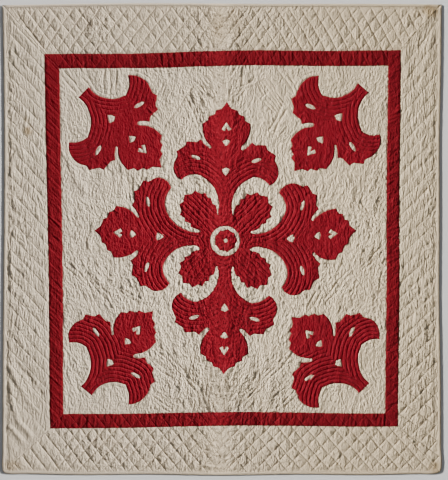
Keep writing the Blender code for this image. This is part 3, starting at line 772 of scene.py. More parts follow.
class Surface:
    """The quilt's height and its stitched lines at some points of one zone."""

    def __init__(self, points, zone):
        x, y = points.T
        self.points, self.zone = points, zone
        self.motif = MOTIFS.locate(points)[0]
        self.sash = SASH.locate(points)[0]
        self.rim = FOLD.locate(points)[0]
        self.under = np.maximum(self.motif, self.sash)
        self.open = self.under < -2 * MM
        if zone == "field":
            self.open &= OUTLINES.locate(points)[0] < 0
        self.lines = stitched_lines(points, zone)
        self.slip = PUCKER_DRIFT * noise(x / 0.16, y / 0.15, 41)
        self.loose = gathering(x, y)
        self.window = np.zeros(len(points))
        height = self.field_padding() if zone == "field" else self.border_padding()
        height = height + self.puckers()
        gap = np.minimum(np.abs(self.motif), np.abs(self.sash))
        held = (0.65 + 0.35 * smoothstep(0, 5 * MM, gap)) * smoothstep(-2 * MM, 20 * MM, self.rim)
        open_ground = smoothstep(0, 6 * MM, gap) * (self.under < 0)
        relief = height * (0.2 + 0.8 * held) + crease_height(points) * open_ground
        limit = np.where(relief > 0, RELIEF_LIMIT, DEEPEST)
        self.relief = limit * np.tanh(relief / limit)
        lumps = noise(x / LIFT_SPAN, y / LIFT_SPAN, 71) + 0.5 * noise(x / 0.09, y / 0.13, 72)
        self.lift = LIFT * smoothstep(0.05, 0.9, lumps + 0.25) * smoothstep(0.02, 0.09, self.rim)

    def puffed(self):
        """The padding between the stitched lines, from 0 on a firm line to 1."""
        puff = np.ones(len(self.points))
        for number, (count, strength) in enumerate(self.lines):
            shown = (self.under < 0) if number == SPRAY_FAMILY else 1
            puff = np.minimum(puff, 1 - strength * shown * (1 - channel(count)))
        return puff

    def field_padding(self):
        """Height of the field's padding and of the pleats at the motifs' edges."""
        outline, along, toothed = field_lines(self.points)[1]
        inside = outline > 0
        self.window = smoothstep(0.5 * MM, 4.5 * MM, -self.motif) * inside
        near = smoothstep(0.085, 0.015, np.abs(outline))
        self.loose = self.loose * np.where(inside, 0.75, 1.35 - 0.25 * near)
        strength = near * np.where(inside, toothed, 0.5 + 0.5 * toothed)
        height = self.puffed() * np.where(inside, PUFF["echo"], PUFF["field"])
        for seed, breadth, rise in EDGE_PLEATS:
            pleats = noise(along / breadth, np.abs(outline) / PLEAT_LENGTH, seed)
            height += rise * strength * billows(pleats)
        return height

    def border_padding(self):
        """Height of a border's padding and of the pleats across the sash beside it."""
        x, y = self.points.T
        height = PUFF["hatch"] * self.puffed()
        height *= 0.45 + 0.55 * smoothstep(0, 12 * MM, np.abs(self.sash))
        height *= smoothstep(-4 * MM, 26 * MM, self.rim)
        height *= 0.75 + 0.25 * smoothstep(0, 5 * MM, SEAMS.locate(self.points))
        axis = BANDS[self.zone][0]
        along, across = self.points[:, axis], self.points[:, 1 - axis]
        run = along + SASH_LEAN[self.zone] * across
        on_sash = smoothstep(0, 4 * MM, self.sash)
        for seed, breadth, rise in SASH_PLEATS:
            height += rise * on_sash * billows(noise(run / breadth, across / 0.11, seed))
        seed, breadth, length, rise = ROUND_PUCKER
        share = smoothstep(0.80, 0.90, np.abs(y)) * smoothstep(0.95, 0.85, np.abs(x))
        height += rise * share * billows(noise(x / breadth, y / length, seed))
        self.loose = self.loose * (1 - 0.35 * on_sash)
        return height

    def puckers(self):
        """Height of the puckers, which give way to streaks in the open ground and the side borders."""
        x, y = self.points.T
        drifted = x + self.slip
        upright = self.zone in ("left", "right")
        streaked = np.where(self.under < 0, 1.0, 0.35) if self.zone == "field" else 0.5 * upright
        height = np.zeros(len(x))
        for seed, breadth, length, rise, lean in PUCKERS:
            share = 1 - 0.75 * streaked * (breadth < FINE_BREADTH)
            height += rise * share * billows(turned_noise(drifted, y, breadth, length, lean, seed))
        if self.zone == "field":
            height += streaked * streaks(self.points, self.slip)
        if upright:
            for seed, breadth, length, rise in SIDE_STREAKS:
                height += rise * billows(noise((x + 0.5 * self.slip) / breadth, y / length, seed))
        seed, breadth, length, rise, lean = CROSSWISE
        share = changed(CROSSED_LEAST, CROSSED, x, y)
        height += rise * share * billows(turned_noise(drifted, y, breadth, length, lean, seed))
        return self.loose * height

    def marks(self):
        """Numbers for the materials."""
        (echo, firm), (straight_one, firm_one), (straight_two, firm_two), (spray, firm_spray) = self.lines
        return {"echo": echo, "firm": firm, "straight_one": straight_one, "firm_one": firm_one,
                "straight_two": straight_two, "firm_two": firm_two,
                "spray": np.abs(spray), "firm_spray": firm_spray * (self.under < 0),
                "slip": self.slip, "loose": self.loose}

    def ground(self):
        """Upper face of the ground, pressed down under a cloth and where the binding holds it."""
        covered = smoothstep(0.3 * MM, 6 * MM, self.under)
        beside = smoothstep(30 * MM, 10 * MM, -self.motif) * (self.motif < 0)
        top = GROUND_TOP + self.relief * (1 - 0.8 * covered) - SINK * covered + BESIDE_RISE * beside
        top = top + WINDOW_RISE * self.window
        top = EDGE_TOP + (top - EDGE_TOP) * smoothstep(-2 * MM, 12 * MM, self.rim)
        return self.lift + top

    def cloth(self, inside):
        """Upper face of an applique cloth, which lies so far inside its own edge."""
        fold = smoothstep(0, ROLL, inside)
        hem = HEM_RISE * smoothstep(0, ROLL, inside) * smoothstep(HEM_WIDTH + ROLL, HEM_WIDTH, inside)
        return self.lift + GROUND_TOP + self.relief + 0.25 * MM + (CLOTH - 0.25 * MM) * fold + hem

    def below(self):
        """Under face of the quilt: on the floor, and clear of the binding's fold."""
        held = smoothstep(3 * MM, -2 * MM, self.rim)
        return self.lift + np.maximum(1.1 * MM * held, np.maximum(0, 0.8 * MM - 0.25 * self.relief))


# ---------------------------------------------------------------- meshes


def crossings(loops, y):
    """Where a level line crosses the loops, from left to right."""
    start = np.concatenate(loops)
    end = np.concatenate([np.roll(loop, -1, axis=0) for loop in loops])
    over = (start[:, 1] <= y) != (end[:, 1] <= y)
    a, b = start[over], end[over]
    return np.sort(a[:, 0] + (y - a[:, 1]) * (b[:, 0] - a[:, 0]) / (b[:, 1] - a[:, 1]))


def grid_inside(loops, step, seed):
    """Points of a slightly uneven triangular grid inside the loops."""
    outline = np.concatenate(loops)
    rows = []
    for number, y in enumerate(np.arange(outline[:, 1].min(), outline[:, 1].max(), step * sqrt(3) / 2)):
        shift = step / 2 * (number % 2)
        bounds = crossings(loops, y + 1e-7)
        for low, high in zip(bounds[::2], bounds[1::2]):
            x = np.arange(ceil((low - shift) / step), (high - shift) / step) * step + shift
            rows.append(np.stack([x, np.full(len(x), y)], axis=1))
    points = np.concatenate(rows)
    return points + np.random.default_rng(seed).uniform(-0.12, 0.12, points.shape) * step


def inside_loops(loops, points):
    """Which points lie inside the loops."""
    start = np.concatenate(loops)
    end = np.concatenate([np.roll(loop, -1, axis=0) for loop in loops])
    inside = np.zeros(len(points), bool)
    for k in range(0, len(points), 1000):
        x, y = points[k:k + 1000].T[:, :, None]
        over = (start[None, :, 1] <= y) != (end[None, :, 1] <= y)
        rise = np.where(over, end[None, :, 1] - start[None, :, 1], 1)
        at = start[None, :, 0] + (y - start[None, :, 1]) * (end[None, :, 0] - start[None, :, 0]) / rise
        inside[k:k + 1000] = (over & (at > x)).sum(axis=1) % 2 == 1
    return inside


def triangulated(loops, chains, inner):
    """Points and triangles that fill the loops; the chains are open or closed lines kept as edges."""
    rim = np.concatenate(loops)
    edges, start = [], 0
    for loop in loops:
        edges += [(start + k, start + (k + 1) % len(loop)) for k in range(len(loop))]
        start += len(loop)
    lines = []
    for points, closed in chains:
        last = len(points) if closed else len(points) - 1
        edges += [(start + k, start + (k + 1) % len(points)) for k in range(last)]
        lines.append(points)
        start += len(points)
    points = np.concatenate([rim, *lines, inner])
    found = geometry.delaunay_2d_cdt([Vector(p) for p in points.tolist()], edges, [], 0, 1e-7)
    if len(found[0]) != len(points):
        raise ValueError("two edges of a cloth cross")
    faces = np.array(found[2])
    doubtful = (faces < len(rim)).all(axis=1)
    kept = np.ones(len(faces), bool)
    kept[doubtful] = inside_loops(loops, points[faces[doubtful]].mean(axis=1))
    return points, faces[kept]


def placed(name, data):
    """A new object in the scene with the mesh, lamp or camera that it is given."""
    piece = bpy.data.objects.new(name, data)
    bpy.context.scene.collection.objects.link(piece)
    return piece


def cloth_object(name, points, faces, material):
    """A mesh object of triangles, shaded smooth."""
    mesh = bpy.data.meshes.new(name)
    mesh.vertices.add(len(points))
    mesh.vertices.foreach_set("co", points.astype(np.float32).ravel())
    mesh.loops.add(3 * len(faces))
    mesh.loops.foreach_set("vertex_index", faces.astype(np.int32).ravel())
    mesh.polygons.add(len(faces))
    mesh.polygons.foreach_set("loop_start", np.arange(0, 3 * len(faces), 3, dtype=np.int32))
    mesh.update(calc_edges=True)
    mesh.shade_smooth()
    mesh.materials.append(material)
    return placed(name, mesh)


def mark(piece, **values):
    """Stores a number at each point of a piece for its material."""
    for name, numbers in values.items():
        attribute = piece.data.attributes.new(name, "FLOAT", "POINT")
        attribute.data.foreach_set("value", numbers.astype(np.float32))


def offset_rings(loops, own, inset):
    """Points a little inside each loop, which hold the rounded fold of a cloth's edge."""
    rings = np.concatenate([offset_loop(loop, -inset) for loop in loops])
    return rings[own.locate(rings)[0] > 0.85 * inset]


def rim_walls(loops, base):
    """Triangles between the loops' points and the same points of the under face, numbered from base."""
    rim = np.arange(sum(map(len, loops)))
    parts = np.split(rim, np.cumsum([len(loop) for loop in loops])[:-1])
    after = np.concatenate([np.roll(part, -1) for part in parts])
    return np.concatenate([np.stack([rim + base, after + base, after], axis=1),
                           np.stack([rim + base, after, rim], axis=1)])


class Slab:
    """A cloth with its upper face, its under face and the wall between their rims."""

    def __init__(self, name, zone, loops, step, material, chains=(), spare=None, ring=0.0, ground=True):
        own = Edges(loops)
        inner = grid_inside(loops, step, seed=len(name))
        clear = own.locate(inner)[0] > ring + 0.45 * step
        if spare is not None:
            clear &= spare(inner)
        inner = drawn_in(inner[clear], zone, 0.5 * step)
        if ring:
            inner = np.concatenate([offset_rings(loops, own, ring), inner])
        upper, faces = triangulated(loops, chains, inner)
        inner = grid_inside(loops, UNDER_STEP, seed=len(name) + 1)
        lower, low_faces = triangulated(loops, [], inner[own.locate(inner)[0] > 0.4 * UNDER_STEP])
        above, beneath = Surface(upper, zone), Surface(lower, zone)
        if ground:
            top, bottom = above.ground(), beneath.below()
        else:
            inside = own.locate(upper)[0]
            inside[:len(own.points)] = 0
            top, bottom = above.cloth(inside), beneath.ground() + 0.05 * MM
        base = len(upper)
        points = np.concatenate([np.column_stack([upper, top]), np.column_stack([lower, bottom])])
        all_faces = np.concatenate([faces, low_faces[:, ::-1] + base, rim_walls(loops, base)])
        self.piece = cloth_object(name, points, all_faces, material)
        self.points, self.faces, self.lines = points[:base], faces, above.lines
        self.stitched = above.open if ground else np.ones(base, bool)
        low_marks = beneath.marks()
        mark(self.piece, **{key: np.concatenate([values, low_marks[key]])
                            for key, values in above.marks().items()})


# ---------------------------------------------------------------- materials


class Strand:
    """A socket in a material; arithmetic on it adds Math nodes."""

    def __init__(self, recipe, socket):
        self.recipe, self.socket = recipe, socket

    def math(self, operation, *others):
        return self.recipe.add("ShaderNodeMath", {"operation": operation}, dict(enumerate((self, *others))))

    def __add__(self, other):
        return self.math("ADD", other)

    def __sub__(self, other):
        return self.math("SUBTRACT", other)

    def __mul__(self, other):
        return self.math("MULTIPLY", other)

    def __rsub__(self, other):
        return self.recipe.add("ShaderNodeMath", {"operation": "SUBTRACT"}, {0: other, 1: self})

    __radd__, __rmul__ = __add__, __mul__


def add_node(tree, kind, settings=None, inputs=None):
    """A new node with its settings, and a value or a link for each socket that is named."""
    node = tree.nodes.new(kind)
    for name, value in (settings or {}).items():
        setattr(node, name, value)
    for name, value in (inputs or {}).items():
        if isinstance(value, bpy.types.NodeSocket):
            tree.links.new(value, node.inputs[name])
        else:
            node.inputs[name].default_value = value
    return node


class Recipe:
    """One material and its nodes."""

    def __init__(self, name):
        self.material = bpy.data.materials.new(name)
        self.material.use_nodes = True
        self.tree = self.material.node_tree
        self.tree.nodes.clear()
        self.place = self.add("ShaderNodeTexCoord", output="Object")
        slip = self.add("ShaderNodeCombineXYZ", {}, {"X": self.marked("slip")})
        self.puckered = self.add("ShaderNodeVectorMath", {"operation": "ADD"}, {0: self.place, 1: slip})

    def add(self, kind, settings=None, inputs=None, output=0):
        given = {name: value.socket if isinstance(value, Strand) else value
                 for name, value in (inputs or {}).items()}
        node = add_node(self.tree, kind, settings, given)
        return Strand(self, node.outputs[output]) if node.outputs else None

    def marked(self, name):
        return self.add("ShaderNodeAttribute", {"attribute_name": name}, output="Fac")

    def step(self, value, low, high):
        """0 where the value is at low, 1 at high, smooth between."""
        return self.add("ShaderNodeMapRange", {"interpolation_type": "SMOOTHSTEP"},
                        {"Value": value, "From Min": low, "From Max": high})

    def patches(self, size, stretch=(1, 1, 1), detail=2.0, roughness=0.5, place=None):
        """Noise from 0 to 1 with patches of a size in metres, longer where stretched."""
        moved = self.add("ShaderNodeMapping", {},
                         {"Vector": place or self.place, "Scale": tuple(1 / (size * s) for s in stretch)})
        return self.add("ShaderNodeTexNoise", {},
                        {"Vector": moved, "Scale": 1.0, "Detail": detail, "Roughness": roughness}, "Fac")

    def mix(self, share, first, second, blend="MIX"):
        return self.add("ShaderNodeMix", {"data_type": "RGBA", "blend_type": blend},
                        {0: share, 6: first, 7: second}, 2)

    def shader(self, colour, roughness, height, sheen):
        """The finished material, without gloss; the height of its fine relief is in millimetres."""
        bump = self.add("ShaderNodeBump", {}, {"Height": height, "Distance": MM, "Strength": 1.0})
        surface = self.add("ShaderNodeBsdfPrincipled", {}, {
            "Base Color": colour, "Roughness": roughness, "Normal": bump,
            "Sheen Weight": sheen, "Sheen Roughness": 0.6, "Specular IOR Level": 0.0})
        self.add("ShaderNodeOutputMaterial", {}, {"Surface": surface})
        return self.material


def thread_weave(recipe, pitch):
    """Height of a plain weave with its uneven threads, from 0 to about 1."""
    parts = recipe.add("ShaderNodeSeparateXYZ", {}, {0: recipe.place})
    across = recipe.add("ShaderNodeSeparateXYZ", {}, {0: recipe.place}, "Y")
    warp = (parts * (2 * pi / pitch)).math("SINE")
    weft = (across * (2 * pi / pitch)).math("SINE")
    slubs = recipe.patches(0.002, (1, 20, 1)) + recipe.patches(0.002, (20, 1, 1))
    return warp * weft * 0.35 + slubs * 0.35


def fine_puckers(recipe, upright):
    """Height of the finest puckers, 0 to 1, longer up the quilt than across it."""
    lumps = recipe.patches(0.0075, (1, upright, 1), 1.5, 0.6, recipe.puckered)
    folds = (recipe.patches(0.0140, (1, 1.7, 1), 1.0, 0.5, recipe.puckered) - 0.5).math("ABSOLUTE")
    return (lumps + folds) * recipe.marked("loose")


QUILTING = (("echo", "firm", ECHO_STEP), ("straight_one", "firm_one", HATCH_STEP),
            ("straight_two", "firm_two", HATCH_STEP), ("spray", "firm_spray", ECHO_STEP))


def grooves(recipe):
    """1 on the quilting lines, fading over 3 mm each side, less where a line is faint."""
    total = None
    for count, strength, step in QUILTING:
        off = recipe.marked(count).math("PINGPONG", 0.5) * (step / MM)
        groove = recipe.step(off, 3.2, 0.3) * recipe.marked(strength)
        total = groove if total is None else total.math("MAXIMUM", groove)
    return total


def rgb(red, green, blue):
    return (red, green, blue, 1.0)


def grey(value):
    return rgb(value, value, value)


# Stains: x, y, radius, strength, stretch upwards
STAINS = (
    (-0.884, 0.493, 0.026, 0.75, 1.3),
    (-0.892, 0.545, 0.018, 0.35, 1.0),
    (0.950, 1.040, 0.055, 0.80, 0.7),
    (0.970, -1.038, 0.040, 0.65, 1.0),
    (-0.957, -1.029, 0.060, 0.45, 0.6),
    (-0.020, 0.960, 0.050, 0.30, 2.2),
    (0.060, 0.985, 0.045, 0.25, 2.0),
)


def toned(recipe, colour, near, far, middle, edge):
    """The colour painted brighter or darker, as painted light and shade, by a factor in the middle of the
    quilt and by another far from it.
    """
    oval = recipe.add("ShaderNodeMapping", {}, {"Vector": recipe.place, "Scale": (1.0, 0.87, 0)})
    reach = recipe.add("ShaderNodeVectorMath", {"operation": "LENGTH"}, {0: oval}, "Value")
    tone = recipe.mix(recipe.step(reach, near, far), grey(middle), grey(edge))
    return recipe.mix(1.0, colour, tone, "MULTIPLY")


def painted_light_falloff(recipe, colour):
    """The colour with painted light: brighter towards the middle of the quilt, and darker towards its corners
    as painted shade.
    """
    return toned(recipe, colour, 0.1, 1.3, 1.12, 0.88)


def ground_cotton(name, white, shade, pucker, upright=2.3):
    """Undyed cotton: threads, faint mottling, greyer in the stitched hollows as partly dirt and partly
    painted shade, a few old stains.

    It is a little greyer on the left of the quilt and yellower on the right, with painted light brighter
    towards its middle and painted shade towards its corners.
    """
    recipe = Recipe(name)
    mottle = recipe.patches(0.16, detail=4)
    fine = recipe.patches(0.014, (1, 2.5, 1), detail=3)
    colour = recipe.mix(mottle * 0.9, rgb(*white), rgb(*shade))
    colour = recipe.mix(fine * 0.35, colour, rgb(*(0.8 * c for c in shade)))
    sideways = recipe.add("ShaderNodeSeparateXYZ", {}, {0: recipe.place}) + (mottle - 0.5) * 0.6
    tint = recipe.mix(recipe.step(sideways, -0.8, 0.8), rgb(0.975, 0.985, 1.05), rgb(1.0, 0.98, 0.93))
    # painted light brighter towards the middle of the quilt, painted shade towards its corners
    colour = recipe.mix(1.0, painted_light_falloff(recipe, colour), tint, "MULTIPLY")
    # painted light: the ground is painted brighter towards the middle of the quilt
    colour = toned(recipe, colour, 0.1, 0.65, 1.13, 1.0)
    for x, y, radius, strength, stretch in STAINS:
        centred = recipe.add("ShaderNodeMapping", {"vector_type": "TEXTURE"}, {
            "Vector": recipe.place, "Location": (x, y, 0), "Scale": (radius, radius * stretch, 1)})
        reach = recipe.add("ShaderNodeVectorMath", {"operation": "LENGTH"}, {0: centred}, "Value")
        ragged = reach + (recipe.patches(0.02, detail=4) - 0.5) * 0.9
        colour = recipe.mix(recipe.step(ragged, 1.1, 0.2) * strength, colour, rgb(0.258, 0.181, 0.090))
    groove = grooves(recipe)
    # partly dirt, partly painted shade: the colour darkens along the stitched lines where the padding dips
    colour = recipe.mix(groove * 0.24, colour, rgb(*(0.62 * c for c in shade)))
    height = thread_weave(recipe, 0.0011) * 0.10 - groove * 1.6 + fine_puckers(recipe, upright) * pucker
    return recipe.shader(colour, 0.92, height, 0.04)


def dyed_cotton(name, dye, worn, deep, pucker):
    """Red cotton: threads, fading in patches, lighter wear in small patches, darker in the stitched hollows
    as partly dirt and partly painted shade, with painted light brighter towards the middle.
    """
    recipe = Recipe(name)
    mottle = recipe.patches(0.22, detail=3)
    colour = recipe.mix(mottle, rgb(*dye), rgb(*deep))
    scuff = recipe.step(recipe.patches(0.012, (1, 3.2, 1), detail=5, roughness=0.65), 0.48, 0.78)
    # lighter worn patches, then painted light brighter towards the middle of the quilt and painted shade
    # towards its corners
    colour = painted_light_falloff(recipe, recipe.mix(scuff * 0.55, colour, rgb(*worn)))
    groove = grooves(recipe)
    # partly dirt, partly painted shade: the colour darkens along the stitched lines where the padding dips
    colour = recipe.mix(groove * 0.25, colour, rgb(*(0.55 * c for c in deep)))
    height = thread_weave(recipe, 0.0010) * 0.10 - groove * 1.6 + fine_puckers(recipe, 2.3) * pucker
    return recipe.shader(colour, 0.86, height, 0.02)


FIELD_WHITE = ground_cotton("undyed_cotton", (0.722, 0.593, 0.426), (0.632, 0.516, 0.361), 12.5)
BORDER_WHITE = ground_cotton("border_cotton", (0.662, 0.542, 0.385), (0.581, 0.469, 0.323), 10.5)
SIDE_WHITE = ground_cotton("side_border_cotton", (0.662, 0.546, 0.391), (0.581, 0.473, 0.327), 11.5,
                           upright=4.5)
BINDING = ground_cotton("binding_cotton", (0.623, 0.516, 0.370), (0.550, 0.447, 0.318), 3.0)
LEAF_RED = dyed_cotton("turkey_red_cotton", (0.200, 0.0071, 0.0153), (0.297, 0.0202, 0.0353),
                       (0.146, 0.0058, 0.0119), 8.0)
SASH_RED = dyed_cotton("dark_red_cotton", (0.171, 0.0067, 0.0125), (0.261, 0.0163, 0.0267),
                       (0.114, 0.0053, 0.0099), 8.0)

# ---------------------------------------------------------------- the ground


def straight(start, end, step):
    """Points from start up to but not including end."""
    pieces = max(1, round(float(np.hypot(*(end - start))) / step))
    return start + (end - start) * (np.arange(pieces) / pieces)[:, None]


def path(corners, step):
    """Points along straight lines from each corner to the next, up to but not including the last."""
    return np.concatenate([straight(start, end, step) for start, end in zip(corners, corners[1:])])


def between(start, end, x):
    """The point with the given x on the line from start to end."""
    return start + (end - start) * (x - start[0]) / (end[0] - start[0])


def clear_of_edges(points):
    """Points at a fair distance from a motif's or the sash's edge, few of them where cloth hides them."""
    motif, sash = MOTIFS.locate(points)[0], SASH.locate(points)[0]
    near = np.minimum(np.abs(motif), np.abs(sash)) > 0.42 * FIELD_STEP
    hidden = np.maximum(motif, sash) > 7 * MM
    share = (FIELD_STEP / HIDDEN_STEP) ** 2
    lucky = np.random.default_rng(9).random(len(points)) < share
    return near & (~hidden | lucky)


def edge_chains(loops, keep):
    """The stretches of some loops whose points pass keep, as open or closed chains."""
    chains = []
    for loop in loops:
        inside = keep(loop)
        if inside.all():
            chains.append((loop, True))
            continue
        if not inside.any():
            continue
        start = int(np.argmin(inside))
        turned, kept = np.roll(loop, -start, axis=0), np.roll(inside, -start)
        breaks = np.flatnonzero(np.diff(kept.astype(int)))
        for first, last in zip(breaks[::2] + 1, [*breaks[1::2] + 1, len(loop)]):
            if last - first > 1:
                chains.append((turned[first:last], False))
    return chains


motif_loops = [loop for node in MOTIF_NODES for loop in cloth_loops(node, LEAF_STEP)[0]]

slabs = {}
top_seam = between(butt_corner["top_left"], butt_corner["top_right"], SEAM_X)
bottom_seam = between(butt_corner["bottom_left"], butt_corner["bottom_right"], SEAM_X)
field_corners = {
    "left": (bottom_seam, top_seam, butt_corner["top_left"], butt_corner["bottom_left"]),
    "right": (top_seam, bottom_seam, butt_corner["bottom_right"], butt_corner["top_right"]),
}
for half, corners in field_corners.items():
    outline = wavering(path((*corners, corners[0]), FIELD_STEP))
    panel = Edges([outline])
    chains = edge_chains(motif_loops, lambda loop: panel.locate(loop)[0] > 0.5 * FIELD_STEP)
    slabs[f"field_{half}"] = Slab(f"ground_field_{half}", "field", [outline], FIELD_STEP, FIELD_WHITE, chains,
                                  clear_of_edges)

tucked_line = offset_loop(FOLD_LINE, TUCKED)
for side in SIDES:
    run = tucked_line[side_run(side)]
    inner = [butt_corner[name] for name in reversed(SIDE_CORNERS[side])]
    outline = wavering(np.concatenate([run[:-1], path((run[-1], *inner, run[0]), BORDER_STEP)]))
    cloth = SIDE_WHITE if side in ("left", "right") else BORDER_WHITE
    slabs[f"border_{side}"] = Slab(f"ground_border_{side}", side, [outline], BORDER_STEP, cloth,
                                   spare=clear_of_edges)

# ---------------------------------------------------------------- the red cloths

for node in MOTIF_NODES:
    slabs[node] = Slab(f"red_{node}", "field", cloth_loops(node, LEAF_STEP)[0], LEAF_STEP, LEAF_RED,
                       ring=ROLL, ground=False)
for side in SIDES:
    node = f"sash_{side}"
    slabs[node] = Slab(f"red_{node}", side, cloth_loops(node, SASH_STEP)[0], SASH_STEP, SASH_RED,
                       ring=ROLL, ground=False)

# ---------------------------------------------------------------- stitches


def quilting_runs(slab):
    """Where the quilting lines cross a cloth's faces: points on it, and the pairs of them that join up."""
    points, pairs = [], []
    for count, strength in slab.lines:
        count = np.where(off_line(count) < 0.002, count + 0.004, count)
        corner = count[slab.faces]
        whole = np.floor(corner.max(axis=1))
        drawn = (corner.min(axis=1) < whole) & (np.ptp(corner, axis=1) < 0.5)
        drawn &= (strength[slab.faces].min(axis=1) > 0.3) & slab.stitched[slab.faces].all(axis=1)
        faces, whole = slab.faces[drawn], whole[drawn, None]
        sides = np.sort(np.stack([faces, np.roll(faces, -1, axis=1)], axis=2), axis=2)
        first, second = count[sides[:, :, 0]], count[sides[:, :, 1]]
        crossed = (first - whole) * (second - whole) < 0
        pick = np.argsort(~crossed, axis=1, kind="stable")[:, :2]
        sides = np.take_along_axis(sides, pick[:, :, None], axis=1)
        share = (whole - np.take_along_axis(first, pick, axis=1)) / (
            np.take_along_axis(second, pick, axis=1) - np.take_along_axis(first, pick, axis=1))
        start, end = slab.points[sides[:, :, 0]], slab.points[sides[:, :, 1]]
        places = (start + share[:, :, None] * (end - start)).reshape(-1, 3)
        _, kept, number = np.unique(sides.reshape(-1, 2), axis=0, return_index=True, return_inverse=True)
        pairs.append(number.reshape(-1, 2) + sum(map(len, points)))
        points.append(places[kept])
    return np.concatenate(points), np.concatenate(pairs)


def stitch_rule():
    """Divides each line at the pitch and lays one short thread along it at every place."""
    tree = bpy.data.node_groups.new("running_stitches", "GeometryNodeTree")
    for name, kind in (("Lines", "Geometry"), ("Pitch", "Float"), ("Length", "Float"), ("Width", "Float"),
                       ("Height", "Float"), ("Seed", "Int"), ("Thread", "Material")):
        tree.interface.new_socket(name, in_out="INPUT", socket_type=f"NodeSocket{kind}")
    tree.interface.new_socket("Stitches", in_out="OUTPUT", socket_type="NodeSocketGeometry")
    sizes = tree.nodes.new("NodeGroupInput").outputs

    def add(kind, settings=None, inputs=None):
        return add_node(tree, kind, settings, inputs).outputs[0]

    line = add("GeometryNodeMeshToCurve", {}, {"Mesh": sizes["Lines"]})
    line = add("GeometryNodeResampleCurve", {"mode": "LENGTH"}, {"Curve": line, "Length": sizes["Pitch"]})
    bead = add("GeometryNodeMeshUVSphere", {}, {"Segments": 4, "Rings": 2, "Radius": 0.5})
    size = add("ShaderNodeCombineXYZ", {}, {"X": sizes["Length"], "Y": sizes["Width"], "Z": sizes["Height"]})
    uneven = add("FunctionNodeRandomValue", {"data_type": "FLOAT_VECTOR"}, {
        "Min": (0.75, 0.9, 0.9), "Max": (1.2, 1.1, 1.1), "Seed": sizes["Seed"]})
    size = add("ShaderNodeVectorMath", {"operation": "MULTIPLY"}, {0: size, 1: uneven})
    way = add("FunctionNodeAlignRotationToVector", {"axis": "X"}, {"Vector": add("GeometryNodeInputTangent")})
    laid = add("GeometryNodeInstanceOnPoints", {}, {
        "Points": line, "Instance": bead, "Rotation": way, "Scale": size})
    laid = add("GeometryNodeRealizeInstances", {}, {"Geometry": laid})
    laid = add("GeometryNodeSetMaterial", {}, {"Geometry": laid, "Material": sizes["Thread"]})
    tree.links.new(laid, tree.nodes.new("NodeGroupOutput").inputs["Stitches"])
    return tree


def thread(name, colour, shade):
    """Cotton thread: a fine twist, uneven in colour."""
    recipe = Recipe(name)
    colour = recipe.mix(recipe.patches(0.012, detail=3), rgb(*colour), rgb(*shade))
    return recipe.shader(colour, 0.7, recipe.patches(0.0006) * 0.08, 0.1)


def sewn(name, keys, material, seed):
    """All the running stitches on some cloths, as one mesh."""
    points, pairs, count = [], [], 0
    for key in keys:
        own, joined = quilting_runs(slabs[key])
        points.append(own)
        pairs.append(joined + count)
        count += len(own)
    mesh = bpy.data.meshes.new(name + "_lines")
    places = np.concatenate(points) + (0, 0, STITCH_PROUD)
    mesh.from_pydata(places.tolist(), np.concatenate(pairs).tolist(), [])
    piece = placed(name, mesh)
    modifier = piece.modifiers.new("stitches", "NODES")
    modifier.node_group = STITCH_RULE
    socket = {item.name: item.identifier for item in STITCH_RULE.interface.items_tree}
    values = {"Pitch": STITCH_PITCH, "Length": STITCH_LENGTH, "Width": STITCH_WIDTH, "Height": STITCH_HEIGHT,
              "Seed": seed, "Thread": material}
    for label, value in values.items():
        modifier[socket[label]] = value
    view = bpy.context.evaluated_depsgraph_get()
    finished = bpy.data.meshes.new_from_object(piece.evaluated_get(view))
    piece.modifiers.clear()
    piece.data = finished
    finished.shade_smooth()
    return piece


STITCH_RULE = stitch_rule()
GROUND_KEYS = [key for key in slabs if key.startswith(("field", "border"))]
RED_KEYS = [key for key in slabs if key not in GROUND_KEYS]
stitches = {
    "ground_cloth": sewn("stitches_on_ground", GROUND_KEYS, thread("undyed_thread", (0.74, 0.645, 0.50),
                                                                  (0.636, 0.542, 0.404)), 1),
    "leaf_cloth": sewn("stitches_on_red", RED_KEYS, thread("red_thread", (0.241, 0.0069, 0.0172),
                                                          (0.172, 0.0034, 0.0103)), 2),
}

# ---------------------------------------------------------------- binding

BINDING_FACE = 13.3 * MM       # from the binding's stitched line to its outer fold
BINDING_SECTION = (
    # inset, height: once round the folded strip, over the top, round the edge and back inside it
    (13.2, 6.1), (12.6, 6.7), (8.5, 7.1), (4.5, 6.8), (1.6, 5.6), (0.2, 3.2), (1.0, 1.0), (3.5, 0.15),
    (8.0, 0.0), (13.0, 0.0), (13.2, 0.5), (12.0, 0.9), (4.0, 1.0), (1.9, 1.7), (1.1, 3.2), (2.3, 4.6),
    (5.0, 5.8), (9.0, 6.0),
)


def end_triangles(count):
    """Triangles that close the end of a folded strip with so many points round it."""
    pairs = [(k, count - 1 - k) for k in range(count // 2)]
    triangles = []
    for (a, b), (c, d) in zip(pairs, pairs[1:]):
        triangles += [(a, c, d), (a, d, b)]
    return np.array(triangles)


END_TRIANGLES = end_triangles(len(BINDING_SECTION))


